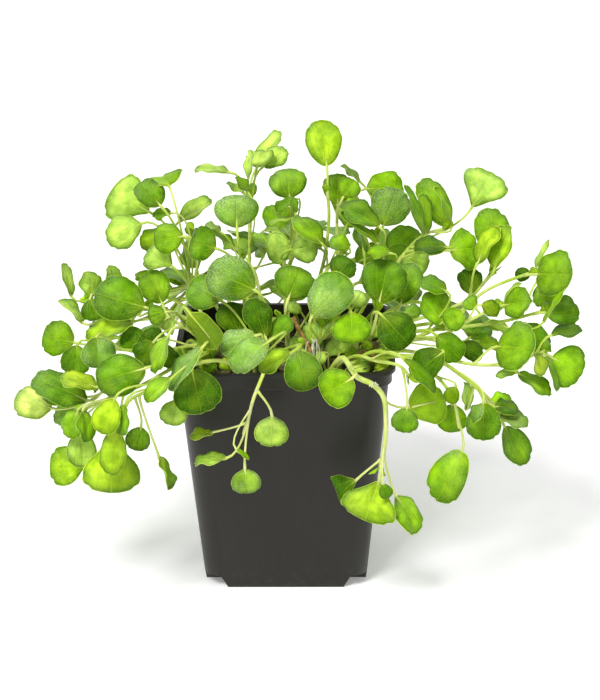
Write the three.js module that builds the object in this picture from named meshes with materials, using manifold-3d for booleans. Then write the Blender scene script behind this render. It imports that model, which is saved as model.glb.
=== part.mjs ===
// Potted cress: a square tapered nursery pot, its compost and a spreading clump of round-leaved shoots.
// Millimetres, +X to the right, +Y away from the viewer, +Z up, origin at the middle of the pot's base.
import * as THREE from 'three';
import { mergeVertices } from 'three/addons/utils/BufferGeometryUtils.js';
import Module from 'manifold-3d';

const wasm = await Module();
wasm.setup();

// Driving dimensions of the pot
const POT_HEIGHT = 98.7;
const LIP_WIDTH = 90;
const LIP_THICKNESS = 1.6;
const BAND_WIDTH = 87.2;
const BAND_HEIGHT = 7.7;
const SHOULDER_WIDTH = 84.6;
const SHOULDER_RISE = 1.2;
const BASE_WIDTH = 67;
const CORNER_SHARE = 0.22;
const CORNER_STEPS = 3;
const WALL = 1.2;
const FLOOR = 1.2;
const FOOT_HALF = 24;
const FOOT_FLARE = 3;
const RAISED_CORNER = 5.2;
const DRAIN_RADIUS = 2.5;
const DRAIN_PLACE = 28.5;
const DRAIN_SIDES = 6;
const OVERSHOOT = 5;
const SAME_PLACE = 1e-4;

// Driving dimensions of the compost
const SOIL_TOP = 86.5;
const SOIL_LUMP = 1.2;
const SOIL_CELLS = 3;
const CLEARANCE = 0.3;
const HOLE_DEPTH = 3.5;
const HOLE_ROOM = 0.7;
const HOLE_SIDES = 4;
const SOIL_SEED = 7;

// Driving dimensions of the plant
const STEM_RADIUS = 1.1;
const STEM_FOOT = 1;
const STEM_UPRIGHT = 7;
const STEM_SIDES = 4;
const STEM_STEP = 17;
const FEWEST_STEPS = 4;
const BLADE_THICKNESS = 0.7;
const PETIOLE_WIDTH = 1.6;
const PETIOLE_DEPTH = 1.3;
const PETIOLE_END = 0.55;
const SMALL_LEAF = 14.9;
const LIFT = 0.3;
const LEAN_SHARE = 0.3;
const DOWNWARD = -0.05;
const WAVE_SEED = 5;

// Where the viewer stands: distance and target in mm, angles in degrees, focal and middle in picture units
const VIEW = {
  distance: 900,
  target: [6.13, 0, 92.95],
  rise: 19.63,
  yaw: 0.92,
  roll: -0.455,
  focal: 2159,
  middle: [300, 350],
};

// How a leaf is made: the margin's angles round from the foot, which of them are notches, and its waves
const MARGIN = [45, 95, 140, 161];
const SMALL_MARGIN = [50, 100, 145];
const NOTCHES = [140];
const NOTCH_DEPTH = 0.07;
const FULLNESS = 0.16;
const CUP = 0.08;
const ARCH = 0.1;
const WAVE = 0.04;

// How a petiole runs from its blade to the stem
const STEM_SPOTS = 24;
const PETIOLE_LEAD = 4;
const PETIOLE_SLANT = 0.6;
const PETIOLE_BEND = 0.33;
const PETIOLE_RISE = 0.06;
const LOWEST_PETIOLE = 7;
const JOINT_GAP = 2.2;
const PETIOLE_STEP = 19;
const MOST_STATIONS = 3;

// How much room is kept between the leaves and stems, and the moves tried to get it
const BLADE_ROOM = 3.4;
const STEM_ROOM = 2.6;
const OWN_ROOM = 1.9;
const POT_ROOM = 1.8;
const SHIFTS = [0, 3, -3, 6, -6, 9, -9, 12, -12, 15, -15, 18, -18, 22, -22, 26, -26];
const SPOT_GAP = 3;
const BLADE_RINGS = [{ share: 0, count: 1 }, { share: 0.5, count: 6 }, { share: 0.95, count: 12 }];

// The shoots at the back, where nothing is seen: angles in degrees, the rest in mm
const ROOTS = { reach: 35, gap: 5.2, tries: 60, turn: 2.4, step: 1.3 };
const BACK_SEED = 64;
const BACK_TURNS = [0, 4, -4, 8, -8, 12, -12];
const BACK_STEM_ROOM = 3.38;
const BACK_BEND = 0.45;
const BACK_STEM_VARIES = { heading: 4, reach: 4, height: 5 };
const BACK_LEAF = {
  count: 5,
  spread: 42,
  varies: 14,
  inward: [0, 14],
  outward: [6, 13],
  height: 6,
  length: [14, 20],
  widthShare: [0.92, 1.06],
  faceUp: 0.9,
  faceOut: 0.5,
  faceVaries: 0.3,
};
const BACK_TIERS = [
  {
    name: 'low',
    count: 7,
    first: 16,
    step: 24.7,
    reach: 80,
    shorter: 10,
    rootReach: 32,
    height: 97,
    arch: 24,
    climb: [-15, 20],
  },
  {
    name: 'high',
    count: 5,
    first: 27,
    step: 31,
    reach: 52,
    shorter: 6,
    rootReach: 18,
    height: 118,
    arch: 30,
    climb: [5, 45],
  },
];

const COLOURS = { pot: 0x3b3a36, soil: 0x2b2118, leaf: 0x7fb32e };

// Helpers for solids
function toSolid(geometry) {
  const bare = geometry.clone();
  bare.deleteAttribute('normal');
  bare.deleteAttribute('uv');
  const merged = mergeVertices(bare, SAME_PLACE);
  return new wasm.Manifold(new wasm.Mesh({
    numProp: 3,
    vertProperties: new Float32Array(merged.attributes.position.array),
    triVerts: new Uint32Array(merged.index.array),
  }));
}

function toGeometry(solid) {
  const mesh = solid.getMesh();
  const geometry = new THREE.BufferGeometry();
  geometry.setAttribute('position', new THREE.BufferAttribute(new Float32Array(mesh.vertProperties), 3));
  geometry.setIndex(new THREE.BufferAttribute(new Uint32Array(mesh.triVerts), 1));
  geometry.computeVertexNormals();
  return geometry;
}

// The same seeded draw is used wherever the plant varies
function seededDraw(seed) {
  let state = seed;
  return (low, high) => {
    state = (Math.imul(state, 1103515245) + 12345) & 0x7fffffff;
    return low + (high - low) * (state / 0x80000000);
  };
}

// A rounded square column whose width changes evenly from its foot to its head
function taperedSquare(footWidth, headWidth, footHeight, headHeight) {
  const half = footWidth / 2;
  const round = footWidth * CORNER_SHARE / 2;
  const shape = new THREE.Shape();
  shape.moveTo(-half + round, -half);
  shape.lineTo(half - round, -half);
  shape.absarc(half - round, -half + round, round, -Math.PI / 2, 0);
  shape.lineTo(half, half - round);
  shape.absarc(half - round, half - round, round, 0, Math.PI / 2);
  shape.lineTo(-half + round, half);
  shape.absarc(-half + round, half - round, round, Math.PI / 2, Math.PI);
  shape.lineTo(-half, -half + round);
  shape.absarc(-half + round, -half + round, round, Math.PI, 1.5 * Math.PI);
  const depth = headHeight - footHeight;
  const settings = { depth, bevelEnabled: false, curveSegments: CORNER_STEPS };
  const column = new THREE.ExtrudeGeometry(shape, settings);
  const place = column.attributes.position;
  for (let i = 0; i < place.count; i += 1) {
    const share = place.getZ(i) / depth;
    const grow = 1 + share * (headWidth / footWidth - 1);
    place.setXYZ(i, place.getX(i) * grow, place.getY(i) * grow, place.getZ(i) + footHeight);
  }
  return toSolid(column);
}

// The wedge under one corner of the pot: it is what the raised corner leaves out
function cornerWedge(signX, signY, height, grow) {
  const reach = BASE_WIDTH;
  const flat = FOOT_HALF + FOOT_FLARE - grow;
  const low = flat - FOOT_FLARE * (height + OVERSHOOT) / RAISED_CORNER;
  const block = new THREE.BoxGeometry(reach, reach, height + OVERSHOOT);
  const place = block.attributes.position;
  for (let i = 0; i < place.count; i += 1) {
    const isTop = place.getZ(i) > 0;
    const inner = isTop ? flat : low;
    const x = place.getX(i) > 0 ? reach : inner;
    const y = place.getY(i) > 0 ? reach : inner;
    place.setXYZ(i, x, y, isTop ? height : -OVERSHOOT);
  }
  block.scale(signX, signY, 1);
  if (signX * signY < 0) {
    flipFaces(block);
  }
  return toSolid(block);
}

function flipFaces(geometry) {
  const order = geometry.index.array;
  for (let i = 0; i < order.length; i += 3) {
    [order[i], order[i + 1]] = [order[i + 1], order[i]];
  }
}

function withCorners(solid, height, grow) {
  let result = solid;
  for (const signX of [-1, 1]) {
    for (const signY of [-1, 1]) {
      result = result.subtract(cornerWedge(signX, signY, height, grow));
    }
  }
  return result;
}

// The room inside the pot, drawn in by a gap on every side
function inside(gap, top) {
  const shoulder = POT_HEIGHT - BAND_HEIGHT;
  const thin = 2 * (WALL + gap);
  const low = taperedSquare(BASE_WIDTH - thin, SHOULDER_WIDTH - thin, FLOOR + gap, shoulder + gap / 2);
  const step = taperedSquare(
    SHOULDER_WIDTH - thin, BAND_WIDTH - thin, shoulder + gap / 2, shoulder + SHOULDER_RISE + gap,
  );
  const high = taperedSquare(BAND_WIDTH - thin, BAND_WIDTH - thin, shoulder + SHOULDER_RISE + gap, top);
  return withCorners(low, RAISED_CORNER + FLOOR + gap, FLOOR + gap).add(step).add(high);
}

function makePot() {
  const shoulder = POT_HEIGHT - BAND_HEIGHT;
  const body = taperedSquare(BASE_WIDTH, SHOULDER_WIDTH, 0, shoulder);
  const step = taperedSquare(SHOULDER_WIDTH, BAND_WIDTH, shoulder, shoulder + SHOULDER_RISE);
  const band = taperedSquare(BAND_WIDTH, BAND_WIDTH, shoulder + SHOULDER_RISE, POT_HEIGHT);
  const lip = taperedSquare(LIP_WIDTH, LIP_WIDTH, POT_HEIGHT - LIP_THICKNESS, POT_HEIGHT);
  let pot = withCorners(body, RAISED_CORNER, 0).add(step).add(band).add(lip);
  pot = pot.subtract(inside(0, POT_HEIGHT + OVERSHOOT));
  for (const signX of [-1, 1]) {
    for (const signY of [-1, 1]) {
      const drain = new THREE.CylinderGeometry(DRAIN_RADIUS, DRAIN_RADIUS, RAISED_CORNER * 3, DRAIN_SIDES);
      drain.rotateX(Math.PI / 2);
      drain.translate(signX * DRAIN_PLACE, signY * DRAIN_PLACE, RAISED_CORNER);
      pot = pot.subtract(toSolid(drain));
    }
  }
  return pot;
}

// The compost has a lumpy top, and a plain hole wherever a stem stands in it
function makeSoil(roots) {
  const draw = seededDraw(SOIL_SEED);
  const width = BAND_WIDTH + OVERSHOOT;
  const cover = new THREE.BoxGeometry(width, width, OVERSHOOT * 4, SOIL_CELLS, SOIL_CELLS, 1);
  const place = cover.attributes.position;
  const lumps = new Map();
  for (let i = 0; i < place.count; i += 1) {
    if (place.getZ(i) < 0) {
      const key = `${Math.round(place.getX(i) * 100)},${Math.round(place.getY(i) * 100)}`;
      if (!lumps.has(key)) {
        lumps.set(key, draw(-SOIL_LUMP, SOIL_LUMP));
      }
      place.setZ(i, SOIL_TOP + lumps.get(key));
    } else {
      place.setZ(i, POT_HEIGHT + OVERSHOOT);
    }
  }
  let soil = inside(CLEARANCE, POT_HEIGHT - OVERSHOOT).subtract(toSolid(cover));
  for (const [x, y] of roots) {
    const radius = STEM_RADIUS + (CLEARANCE + HOLE_ROOM) / Math.cos(Math.PI / HOLE_SIDES);
    const hole = new THREE.CylinderGeometry(radius, radius, HOLE_DEPTH * 2, HOLE_SIDES);
    hole.rotateX(Math.PI / 2);
    hole.translate(x, y, SOIL_TOP);
    soil = soil.subtract(toSolid(hole));
  }
  return soil;
}

// The directions of the view: a shoot is set out as it is seen from there
function makeView() {
  const rise = THREE.MathUtils.degToRad(VIEW.rise);
  const yaw = THREE.MathUtils.degToRad(VIEW.yaw);
  const roll = THREE.MathUtils.degToRad(VIEW.roll);
  const back = new THREE.Vector3(
    Math.sin(yaw) * Math.cos(rise), -Math.cos(yaw) * Math.cos(rise), Math.sin(rise),
  );
  const eye = new THREE.Vector3(...VIEW.target).addScaledVector(back, VIEW.distance);
  const forward = back.clone().negate();
  const level = forward.clone().cross(new THREE.Vector3(0, 0, 1)).normalize();
  const upright = level.clone().cross(forward);
  const right = level.clone().multiplyScalar(Math.cos(roll)).addScaledVector(upright, Math.sin(roll));
  const up = upright.clone().multiplyScalar(Math.cos(roll)).addScaledVector(level, -Math.sin(roll));
  return { eye, forward, right, up };
}

const SIGHT = makeView();

// The point seen at a place of the picture, on the upright plane that stands near mm before the pot's middle
function onPicture(pictureX, pictureY, near) {
  const ray = SIGHT.forward.clone()
    .addScaledVector(SIGHT.right, (pictureX - VIEW.middle[0]) / VIEW.focal)
    .addScaledVector(SIGHT.up, (VIEW.middle[1] - pictureY) / VIEW.focal);
  return SIGHT.eye.clone().addScaledVector(ray, (-near - SIGHT.eye.y) / ray.y);
}

// A path of straight stretches between its bends
class BentPath extends THREE.Curve {
  constructor(bends) {
    super();
    this.bends = bends;
  }

  getPoint(share) {
    const last = this.bends.length - 1;
    const stretch = Math.min(Math.floor(share * last), last - 1);
    return this.bends[stretch].clone().lerp(this.bends[stretch + 1], share * last - stretch);
  }

  getUtoTmapping(share) {
    return share;
  }
}

// A stem stands upright in its hole, then runs through the places given
function stemPath(root, places) {
  const [x, y] = root;
  const points = [
    new THREE.Vector3(x, y, SOIL_TOP - HOLE_DEPTH + STEM_FOOT),
    new THREE.Vector3(x, y, SOIL_TOP + STEM_UPRIGHT / 3),
    new THREE.Vector3(x, y, SOIL_TOP + STEM_UPRIGHT),
    ...places,
  ];
  const curve = new THREE.CatmullRomCurve3(points, false, 'centripetal');
  const steps = Math.max(FEWEST_STEPS, Math.ceil(curve.getLength() / STEM_STEP));
  return new BentPath(curve.getSpacedPoints(steps));
}

function stemSolid(path) {
  const section = new THREE.Shape();
  for (let i = 0; i < STEM_SIDES; i += 1) {
    const angle = i * 2 * Math.PI / STEM_SIDES;
    const corner = [STEM_RADIUS * Math.cos(angle), STEM_RADIUS * Math.sin(angle)];
    if (i === 0) {
      section.moveTo(...corner);
    } else {
      section.lineTo(...corner);
    }
  }
  const steps = path.bends.length - 1;
  return toSolid(new THREE.ExtrudeGeometry(section, { steps, extrudePath: path, bevelEnabled: false }));
}

// How a blade lies: its foot, its axis from foot to tip, its width direction and its upper face's direction.
// turn is how far the upper face is turned from the viewer about the axis, lean how much nearer the tip is.
function placeBlade(row, shift) {
  const { near, width, turn } = row;
  const foot = onPicture(...row.foot, near + shift);
  const rise = onPicture(...row.tip, near + shift).z - foot.z;
  const facing = Math.abs(turn) > 90 ? -1 : 1;
  const lean = row.lean ?? -LEAN_SHARE * rise * facing;
  const tip = onPicture(...row.tip, near + shift + lean);
  const axis = tip.clone().sub(foot);
  const length = axis.length();
  axis.normalize();
  const toEye = SIGHT.eye.clone().sub(foot).normalize();
  const side = axis.clone().cross(toEye).normalize();
  if (side.z < DOWNWARD) {
    side.negate();
  }
  const angle = THREE.MathUtils.degToRad(turn);
  const upper = toEye.multiplyScalar(Math.cos(angle)).addScaledVector(side, Math.sin(angle));
  upper.z += LIFT;
  upper.addScaledVector(axis, -upper.dot(axis)).normalize();
  const across = upper.clone().cross(axis);
  return { foot, axis, across, upper, length, width };
}

// The petiole leaves the foot along the blade's axis and meets the stem below the place nearest to it
function petiolePath(blade, stem, joints) {
  const spots = stem.getSpacedPoints(STEM_SPOTS);
  const stemLength = stem.getLength();
  const wanted = blade.foot.clone().addScaledVector(blade.axis, -PETIOLE_LEAD);
  let nearest = STEM_SPOTS;
  for (let i = 0; i <= STEM_SPOTS; i += 1) {
    if (spots[i].distanceTo(wanted) < spots[nearest].distanceTo(wanted)) {
      nearest = i;
    }
  }
  const back = PETIOLE_SLANT * spots[nearest].distanceTo(wanted) / stemLength;
  const lowest = (HOLE_DEPTH + LOWEST_PETIOLE) / stemLength;
  let share = Math.min(Math.max(nearest / STEM_SPOTS - back, lowest), 1 - STEM_RADIUS / stemLength);
  while (share > lowest && joints.some((other) => stem.getPointAt(share).distanceTo(other) < JOINT_GAP)) {
    share -= JOINT_GAP / 2 / stemLength;
  }
  const joint = stem.getPointAt(Math.max(share, lowest));
  const reach = joint.distanceTo(blade.foot);
  const leave = blade.foot.clone().addScaledVector(blade.axis, -PETIOLE_BEND * reach);
  const arrive = joint.clone().addScaledVector(stem.getTangentAt(share), PETIOLE_RISE * reach);
  return new THREE.CubicBezierCurve3(blade.foot, leave, arrive, joint);
}

// A spot on the blade's upper face: it is cupped across and arched along, with a slow wave of its own
function onBlade(blade, along, aside) {
  const u = along / blade.length;
  const v = aside / (blade.width / 2);
  const wave = WAVE * Math.sin(3 * Math.PI * u + blade.wave) * v;
  return blade.foot.clone()
    .addScaledVector(blade.axis, along)
    .addScaledVector(blade.across, aside)
    .addScaledVector(blade.upper, blade.width * (CUP * v * v - ARCH * u * u + wave));
}

// The margin: a round spoon, a little fuller towards the tip, with shallow notches near it
function marginPlace(blade, degrees) {
  const angle = THREE.MathUtils.degToRad(Math.abs(degrees));
  const notch = NOTCHES.includes(Math.abs(degrees)) ? 1 - NOTCH_DEPTH : 1;
  const along = blade.length * (0.5 - 0.5 * notch * Math.cos(angle));
  const aside = notch * Math.sin(angle) * (1 - FULLNESS * Math.cos(angle)) * blade.width / 2;
  return [along, Math.sign(degrees) * aside];
}

// A leaf is one closed body: the blade's two faces and its edge, and the three-sided petiole that runs from
// the blade's foot into the stem
function leafSolid(blade, path) {
  const half = PETIOLE_WIDTH / 2;
  const vertices = [];
  const triangles = [];
  const addVertex = (point) => {
    vertices.push(point.x, point.y, point.z);
    return vertices.length / 3 - 1;
  };
  const addPair = ([along, aside]) => {
    const point = onBlade(blade, along, aside);
    return [addVertex(point), addVertex(point.addScaledVector(blade.upper, -BLADE_THICKNESS))];
  };
  const angles = blade.width < SMALL_LEAF ? SMALL_MARGIN : MARGIN;
  const margin = [
    ...angles.map((angle) => marginPlace(blade, angle)),
    [blade.length, 0],
    ...[...angles].reverse().map((angle) => marginPlace(blade, -angle)),
  ].map(addPair);
  const [topHeart, bottomHeart] = addPair([blade.length / 2, 0]);
  const footLeft = addVertex(onBlade(blade, 0, half));
  const footRight = addVertex(onBlade(blade, 0, -half));
  const footBelow = addVertex(onBlade(blade, 0, 0).addScaledVector(blade.upper, -PETIOLE_DEPTH));
  const round = [[footLeft, footBelow], ...margin, [footRight, footBelow]];
  for (let k = 0; k + 1 < round.length; k += 1) {
    const [top, bottom] = round[k];
    const [nextTop, nextBottom] = round[k + 1];
    triangles.push(topHeart, nextTop, top, bottomHeart, bottom, nextBottom);
    triangles.push(top, nextTop, nextBottom);
    if (bottom !== nextBottom) {
      triangles.push(top, nextBottom, bottom);
    }
  }
  triangles.push(topHeart, footLeft, footRight);
  let ring = [footLeft, footRight, footBelow];
  let across = blade.across;
  const stations = Math.min(MOST_STATIONS, Math.ceil(path.getLength() / PETIOLE_STEP));
  for (let i = 1; i <= stations; i += 1) {
    const point = path.getPoint(i / stations);
    const tangent = point.clone().sub(path.getPoint((i - 1) / stations)).normalize();
    across = across.clone().addScaledVector(tangent, -across.dot(tangent)).normalize();
    const upper = across.clone().cross(tangent);
    const size = i < stations ? 1 : PETIOLE_END;
    const crest = point.clone().addScaledVector(upper, i < stations ? 0 : PETIOLE_DEPTH * size / 3);
    const nextRing = [
      addVertex(crest.clone().addScaledVector(across, half * size)),
      addVertex(crest.clone().addScaledVector(across, -half * size)),
      addVertex(crest.clone().addScaledVector(upper, -PETIOLE_DEPTH * size)),
    ];
    for (let k = 0; k < 3; k += 1) {
      const j = (k + 1) % 3;
      triangles.push(ring[k], nextRing[j], ring[j], ring[k], nextRing[k], nextRing[j]);
    }
    ring = nextRing;
  }
  triangles.push(ring[0], ring[2], ring[1]);
  return new wasm.Manifold(new wasm.Mesh({
    numProp: 3, vertProperties: new Float32Array(vertices), triVerts: new Uint32Array(triangles),
  }));
}

// The shoots that are seen. root is where the stem stands in the compost, in mm, and stem is where it runs.
// foot and tip are a leaf's two ends as places of the picture, near is how many mm it stands before the pot's
// middle, width is the blade's in mm, turn is in degrees, and lean is in mm where it isn't the usual one.
const SHOOTS = [
  {
    name: 'high_left',
    root: [-24, 6],
    stem: [onPicture(208, 325, 0), onPicture(190, 281, -6), onPicture(190, 232, -10)],
    leaves: [
      { foot: [150, 212], tip: [110, 190], near: -8, width: 21, turn: 0 },
      { foot: [161, 205], tip: [140, 181], near: 2, width: 14, turn: 25 },
      { foot: [168, 184], tip: [160, 170], near: -2, width: 17, turn: 0, lean: -14 },
      { foot: [141, 223], tip: [105, 238], near: -2, width: 15, turn: 15 },
      { foot: [178, 221], tip: [209, 196], near: -26, width: 14, turn: 58 },
      { foot: [171, 212], tip: [152, 214], near: 2, width: 8, turn: 50 },
      { foot: [172, 235], tip: [139, 243], near: -14, width: 12, turn: 25 },
      { foot: [183, 236], tip: [153, 240], near: -4, width: 13, turn: 0 },
      { foot: [172, 266], tip: [149, 248], near: 8, width: 15, turn: 0 },
    ],
  },
  {
    name: 'upper_left',
    root: [-14, 12],
    stem: [onPicture(244, 300, 4), onPicture(243, 256, 10)],
    leaves: [
      { foot: [216, 248], tip: [190, 240], near: 16, width: 15, turn: 0 },
      { foot: [237, 228], tip: [236, 194], near: 18, width: 18, turn: 0 },
      { foot: [221, 231], tip: [206, 222], near: 4, width: 9, turn: 70 },
    ],
  },
  {
    name: 'back_left_tall',
    root: [-12, 24],
    stem: [onPicture(250, 290, -20), onPicture(250, 230, -24), onPicture(252, 195, -26)],
    leaves: [
      { foot: [230, 171], tip: [195, 165], near: -20, width: 14, turn: 76 },
      { foot: [247, 179], tip: [249, 149], near: -18, width: 8, turn: 68 },
      { foot: [257, 166], tip: [262, 147], near: -26, width: 12, turn: 20, lean: -9 },
      { foot: [263, 166], tip: [286, 148], near: -30, width: 10, turn: 20 },
      { foot: [257, 165], tip: [279, 130], near: -34, width: 12, turn: 55 },
      { foot: [249, 192], tip: [238, 175], near: -20, width: 8, turn: 60 },
      { foot: [246, 193], tip: [228, 180], near: -16, width: 8, turn: 68 },
    ],
  },
  {
    name: 'back_middle',
    root: [5, 28],
    stem: [onPicture(290, 290, -16), onPicture(291, 246, -20), onPicture(292, 216, -24)],
    leaves: [
      { foot: [290, 199], tip: [286, 168], near: -22, width: 16, turn: 0 },
      { foot: [294, 198], tip: [274, 208], near: -14, width: 9, turn: 55 },
      { foot: [296, 213], tip: [294, 197], near: -16, width: 5, turn: 50 },
      { foot: [292, 217], tip: [269, 221], near: -12, width: 6, turn: 74 },
      { foot: [291, 246], tip: [266, 250], near: -6, width: 14, turn: 0 },
      { foot: [291, 250], tip: [318, 246], near: -8, width: 13, turn: -30 },
      { foot: [265, 229], tip: [282, 231], near: -30, width: 8, turn: 65 },
    ],
  },
  {
    name: 'tallest',
    root: [12, 4],
    stem: [
      onPicture(317, 290, -4), onPicture(325, 255, -6), onPicture(329, 215, -8), onPicture(327, 190, -8),
    ],
    leaves: [
      { foot: [327, 166], tip: [321, 119], near: -8, width: 15, turn: 8 },
      { foot: [323, 243], tip: [295, 215], near: 0, width: 14, turn: 52 },
      { foot: [350, 247], tip: [330, 239], near: -2, width: 9, turn: 30 },
    ],
  },
  {
    name: 'top_right_inner',
    root: [20, 20],
    stem: [onPicture(338, 280, -14), onPicture(337, 240, -18), onPicture(337, 206, -20)],
    leaves: [
      { foot: [338, 204], tip: [337, 173], near: -18, width: 12.5, turn: 0 },
      { foot: [343, 197], tip: [354, 179], near: -12, width: 10, turn: 0 },
    ],
  },
  {
    name: 'top_right',
    root: [23, 9],
    stem: [onPicture(362, 310, 0), onPicture(378, 275, -6), onPicture(376, 236, -10)],
    leaves: [
      { foot: [366, 188], tip: [404, 186], near: -20, width: 15.5, turn: 20 },
      { foot: [383, 226], tip: [397, 188], near: -4, width: 17, turn: 0 },
      { foot: [361, 181], tip: [343, 163], near: -24, width: 9, turn: 74 },
      { foot: [380, 226], tip: [341, 202], near: -4, width: 15, turn: 50 },
      { foot: [378, 243], tip: [341, 210], near: 8, width: 9, turn: 62 },
      { foot: [390, 252], tip: [368, 250], near: 4, width: 10, turn: 55 },
    ],
  },
  {
    name: 'top_right_outer',
    root: [29, 16],
    stem: [
      onPicture(382, 300, -4), onPicture(397, 264, -8), onPicture(422, 236, -12),
      onPicture(446, 228, -14),
    ],
    leaves: [
      { foot: [425, 236], tip: [408, 183], near: -2, width: 9, turn: 66 },
      { foot: [427, 235], tip: [426, 193], near: -9, width: 10, turn: 58 },
      { foot: [448, 226], tip: [423, 178], near: -18, width: 14, turn: 30 },
      { foot: [453, 227], tip: [438, 185], near: -12, width: 8, turn: 74 },
      { foot: [448, 246], tip: [414, 243], near: 8, width: 13, turn: 50 },
      { foot: [404, 256], tip: [428, 268], near: -14, width: 12, turn: 0 },
      { foot: [472, 207], tip: [492, 171], near: -30, width: 20, turn: 0 },
      { foot: [451, 250], tip: [480, 246], near: -2, width: 18, turn: 0, lean: -4 },
    ],
  },
  {
    name: 'right_high',
    root: [32, 3],
    stem: [onPicture(400, 325, 6), onPicture(440, 312, 6), onPicture(470, 298, 4), onPicture(492, 272, 2)],
    leaves: [
      { foot: [497, 262], tip: [490, 207], near: 0, width: 16, turn: 20 },
      { foot: [476, 263], tip: [493, 224], near: 10, width: 14, turn: 58 },
      { foot: [494, 268], tip: [505, 224], near: 12, width: 13, turn: 45 },
      { foot: [470, 294], tip: [470, 268], near: 12, width: 11, turn: 20 },
    ],
  },
  {
    name: 'far_right',
    root: [35, -6],
    stem: [
      onPicture(394, 331, 12), onPicture(450, 318, 16), onPicture(487, 290, 14), onPicture(532, 272, 10),
    ],
    leaves: [
      { foot: [534, 268], tip: [547, 238], near: 10, width: 7, turn: 74 },
      { foot: [537, 274], tip: [570, 273], near: 12, width: 20, turn: 0, lean: 12 },
      { foot: [531, 273], tip: [515, 275], near: 8, width: 6, turn: 0 },
    ],
  },
  {
    name: 'far_right_low',
    root: [35, -14],
    stem: [
      onPicture(396, 336, 19), onPicture(455, 328, 24), onPicture(505, 321, 22), onPicture(543, 311, 18),
    ],
    leaves: [
      { foot: [545, 312], tip: [580, 312], near: 20, width: 14, turn: 15 },
      { foot: [542, 322], tip: [565, 286], near: 28, width: 6, turn: 78 },
      { foot: [541, 283], tip: [551, 306], near: 14, width: 12, turn: 0 },
    ],
  },
  {
    name: 'right_middle',
    root: [31, -20],
    stem: [
      onPicture(398, 343, 27), onPicture(440, 336, 32), onPicture(470, 320, 30), onPicture(498, 306, 26),
    ],
    leaves: [
      { foot: [503, 305], tip: [528, 300], near: 26, width: 13, turn: 0, lean: 9 },
      { foot: [503, 306], tip: [519, 281], near: 20, width: 8, turn: 72 },
      { foot: [482, 304], tip: [500, 312], near: 30, width: 8, turn: 25 },
      { foot: [476, 308], tip: [466, 298], near: 24, width: 8, turn: 25 },
    ],
  },
  {
    name: 'right',
    root: [35, -25],
    stem: [
      onPicture(398, 351, 35), onPicture(440, 358, 40), onPicture(480, 365, 40), onPicture(515, 362, 38),
      onPicture(545, 350, 32),
    ],
    leaves: [
      { foot: [496, 346], tip: [531, 347], near: 42, width: 20.5, turn: 0, lean: 12 },
      { foot: [527, 323], tip: [549, 352], near: 34, width: 11, turn: 30 },
      { foot: [551, 334], tip: [582, 327], near: 28, width: 12, turn: 62 },
      { foot: [552, 357], tip: [583, 374], near: 30, width: 18, turn: 0 },
      { foot: [547, 355], tip: [560, 391], near: 38, width: 9, turn: 74 },
      { foot: [536, 353], tip: [544, 376], near: 40, width: 10, turn: 58 },
      { foot: [519, 372], tip: [554, 391], near: 44, width: 11, turn: 52 },
      { foot: [518, 371], tip: [495, 375], near: 42, width: 8, turn: 66 },
    ],
  },
  {
    name: 'lower_right',
    root: [28, -27],
    stem: [
      onPicture(392, 356, 42), onPicture(440, 362, 48), onPicture(462, 376, 48), onPicture(488, 398, 46),
      onPicture(500, 412, 44),
    ],
    leaves: [
      { foot: [490, 402], tip: [511, 396], near: 42, width: 9, turn: 45 },
      { foot: [494, 405], tip: [519, 406], near: 48, width: 12, turn: 55 },
      { foot: [484, 403], tip: [483, 441], near: 56, width: 14, turn: 0 },
      { foot: [482, 402], tip: [470, 421], near: 58, width: 10, turn: 66 },
      { foot: [499, 417], tip: [529, 419], near: 50, width: 14, turn: 52 },
      { foot: [505, 426], tip: [527, 464], near: 50, width: 12, turn: 20 },
      { foot: [467, 410], tip: [468, 382], near: 52, width: 9, turn: 66 },
      { foot: [443, 351], tip: [411, 376], near: 54, width: 14, turn: 20 },
    ],
  },
  {
    name: 'lower_right_low',
    root: [24, -33],
    stem: [
      onPicture(372, 352, 40), onPicture(405, 358, 48), onPicture(440, 380, 55), onPicture(454, 402, 57),
      onPicture(459, 428, 58),
    ],
    leaves: [
      { foot: [452, 404], tip: [452, 433], near: 50, width: 12, turn: 0 },
      { foot: [462, 451], tip: [436, 501], near: 58, width: 16, turn: 15 },
      { foot: [456, 387], tip: [448, 403], near: 50, width: 7, turn: 20 },
    ],
  },
  {
    name: 'lower_right_inner',
    root: [21, -26],
    stem: [
      onPicture(356, 356, 38), onPicture(377, 361, 47), onPicture(400, 366, 51), onPicture(410, 377, 53),
    ],
    leaves: [
      { foot: [404, 358], tip: [438, 391], near: 54, width: 9.5, turn: 56 },
      { foot: [407, 408], tip: [403, 433], near: 56, width: 11, turn: 0 },
    ],
  },
  {
    name: 'mid_right',
    root: [21, -7],
    stem: [onPicture(352, 356, 22), onPicture(370, 338, 22), onPicture(378, 310, 20)],
    leaves: [
      { foot: [379, 303], tip: [389, 259], near: 22, width: 19, turn: 0 },
      { foot: [400, 304], tip: [412, 262], near: 10, width: 13, turn: 20 },
      { foot: [382, 315], tip: [410, 345], near: 28, width: 16, turn: 0 },
    ],
  },
  {
    name: 'mid_right_low',
    root: [27, -14],
    stem: [onPicture(386, 344, 22), onPicture(430, 332, 26), onPicture(447, 318, 24)],
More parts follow.
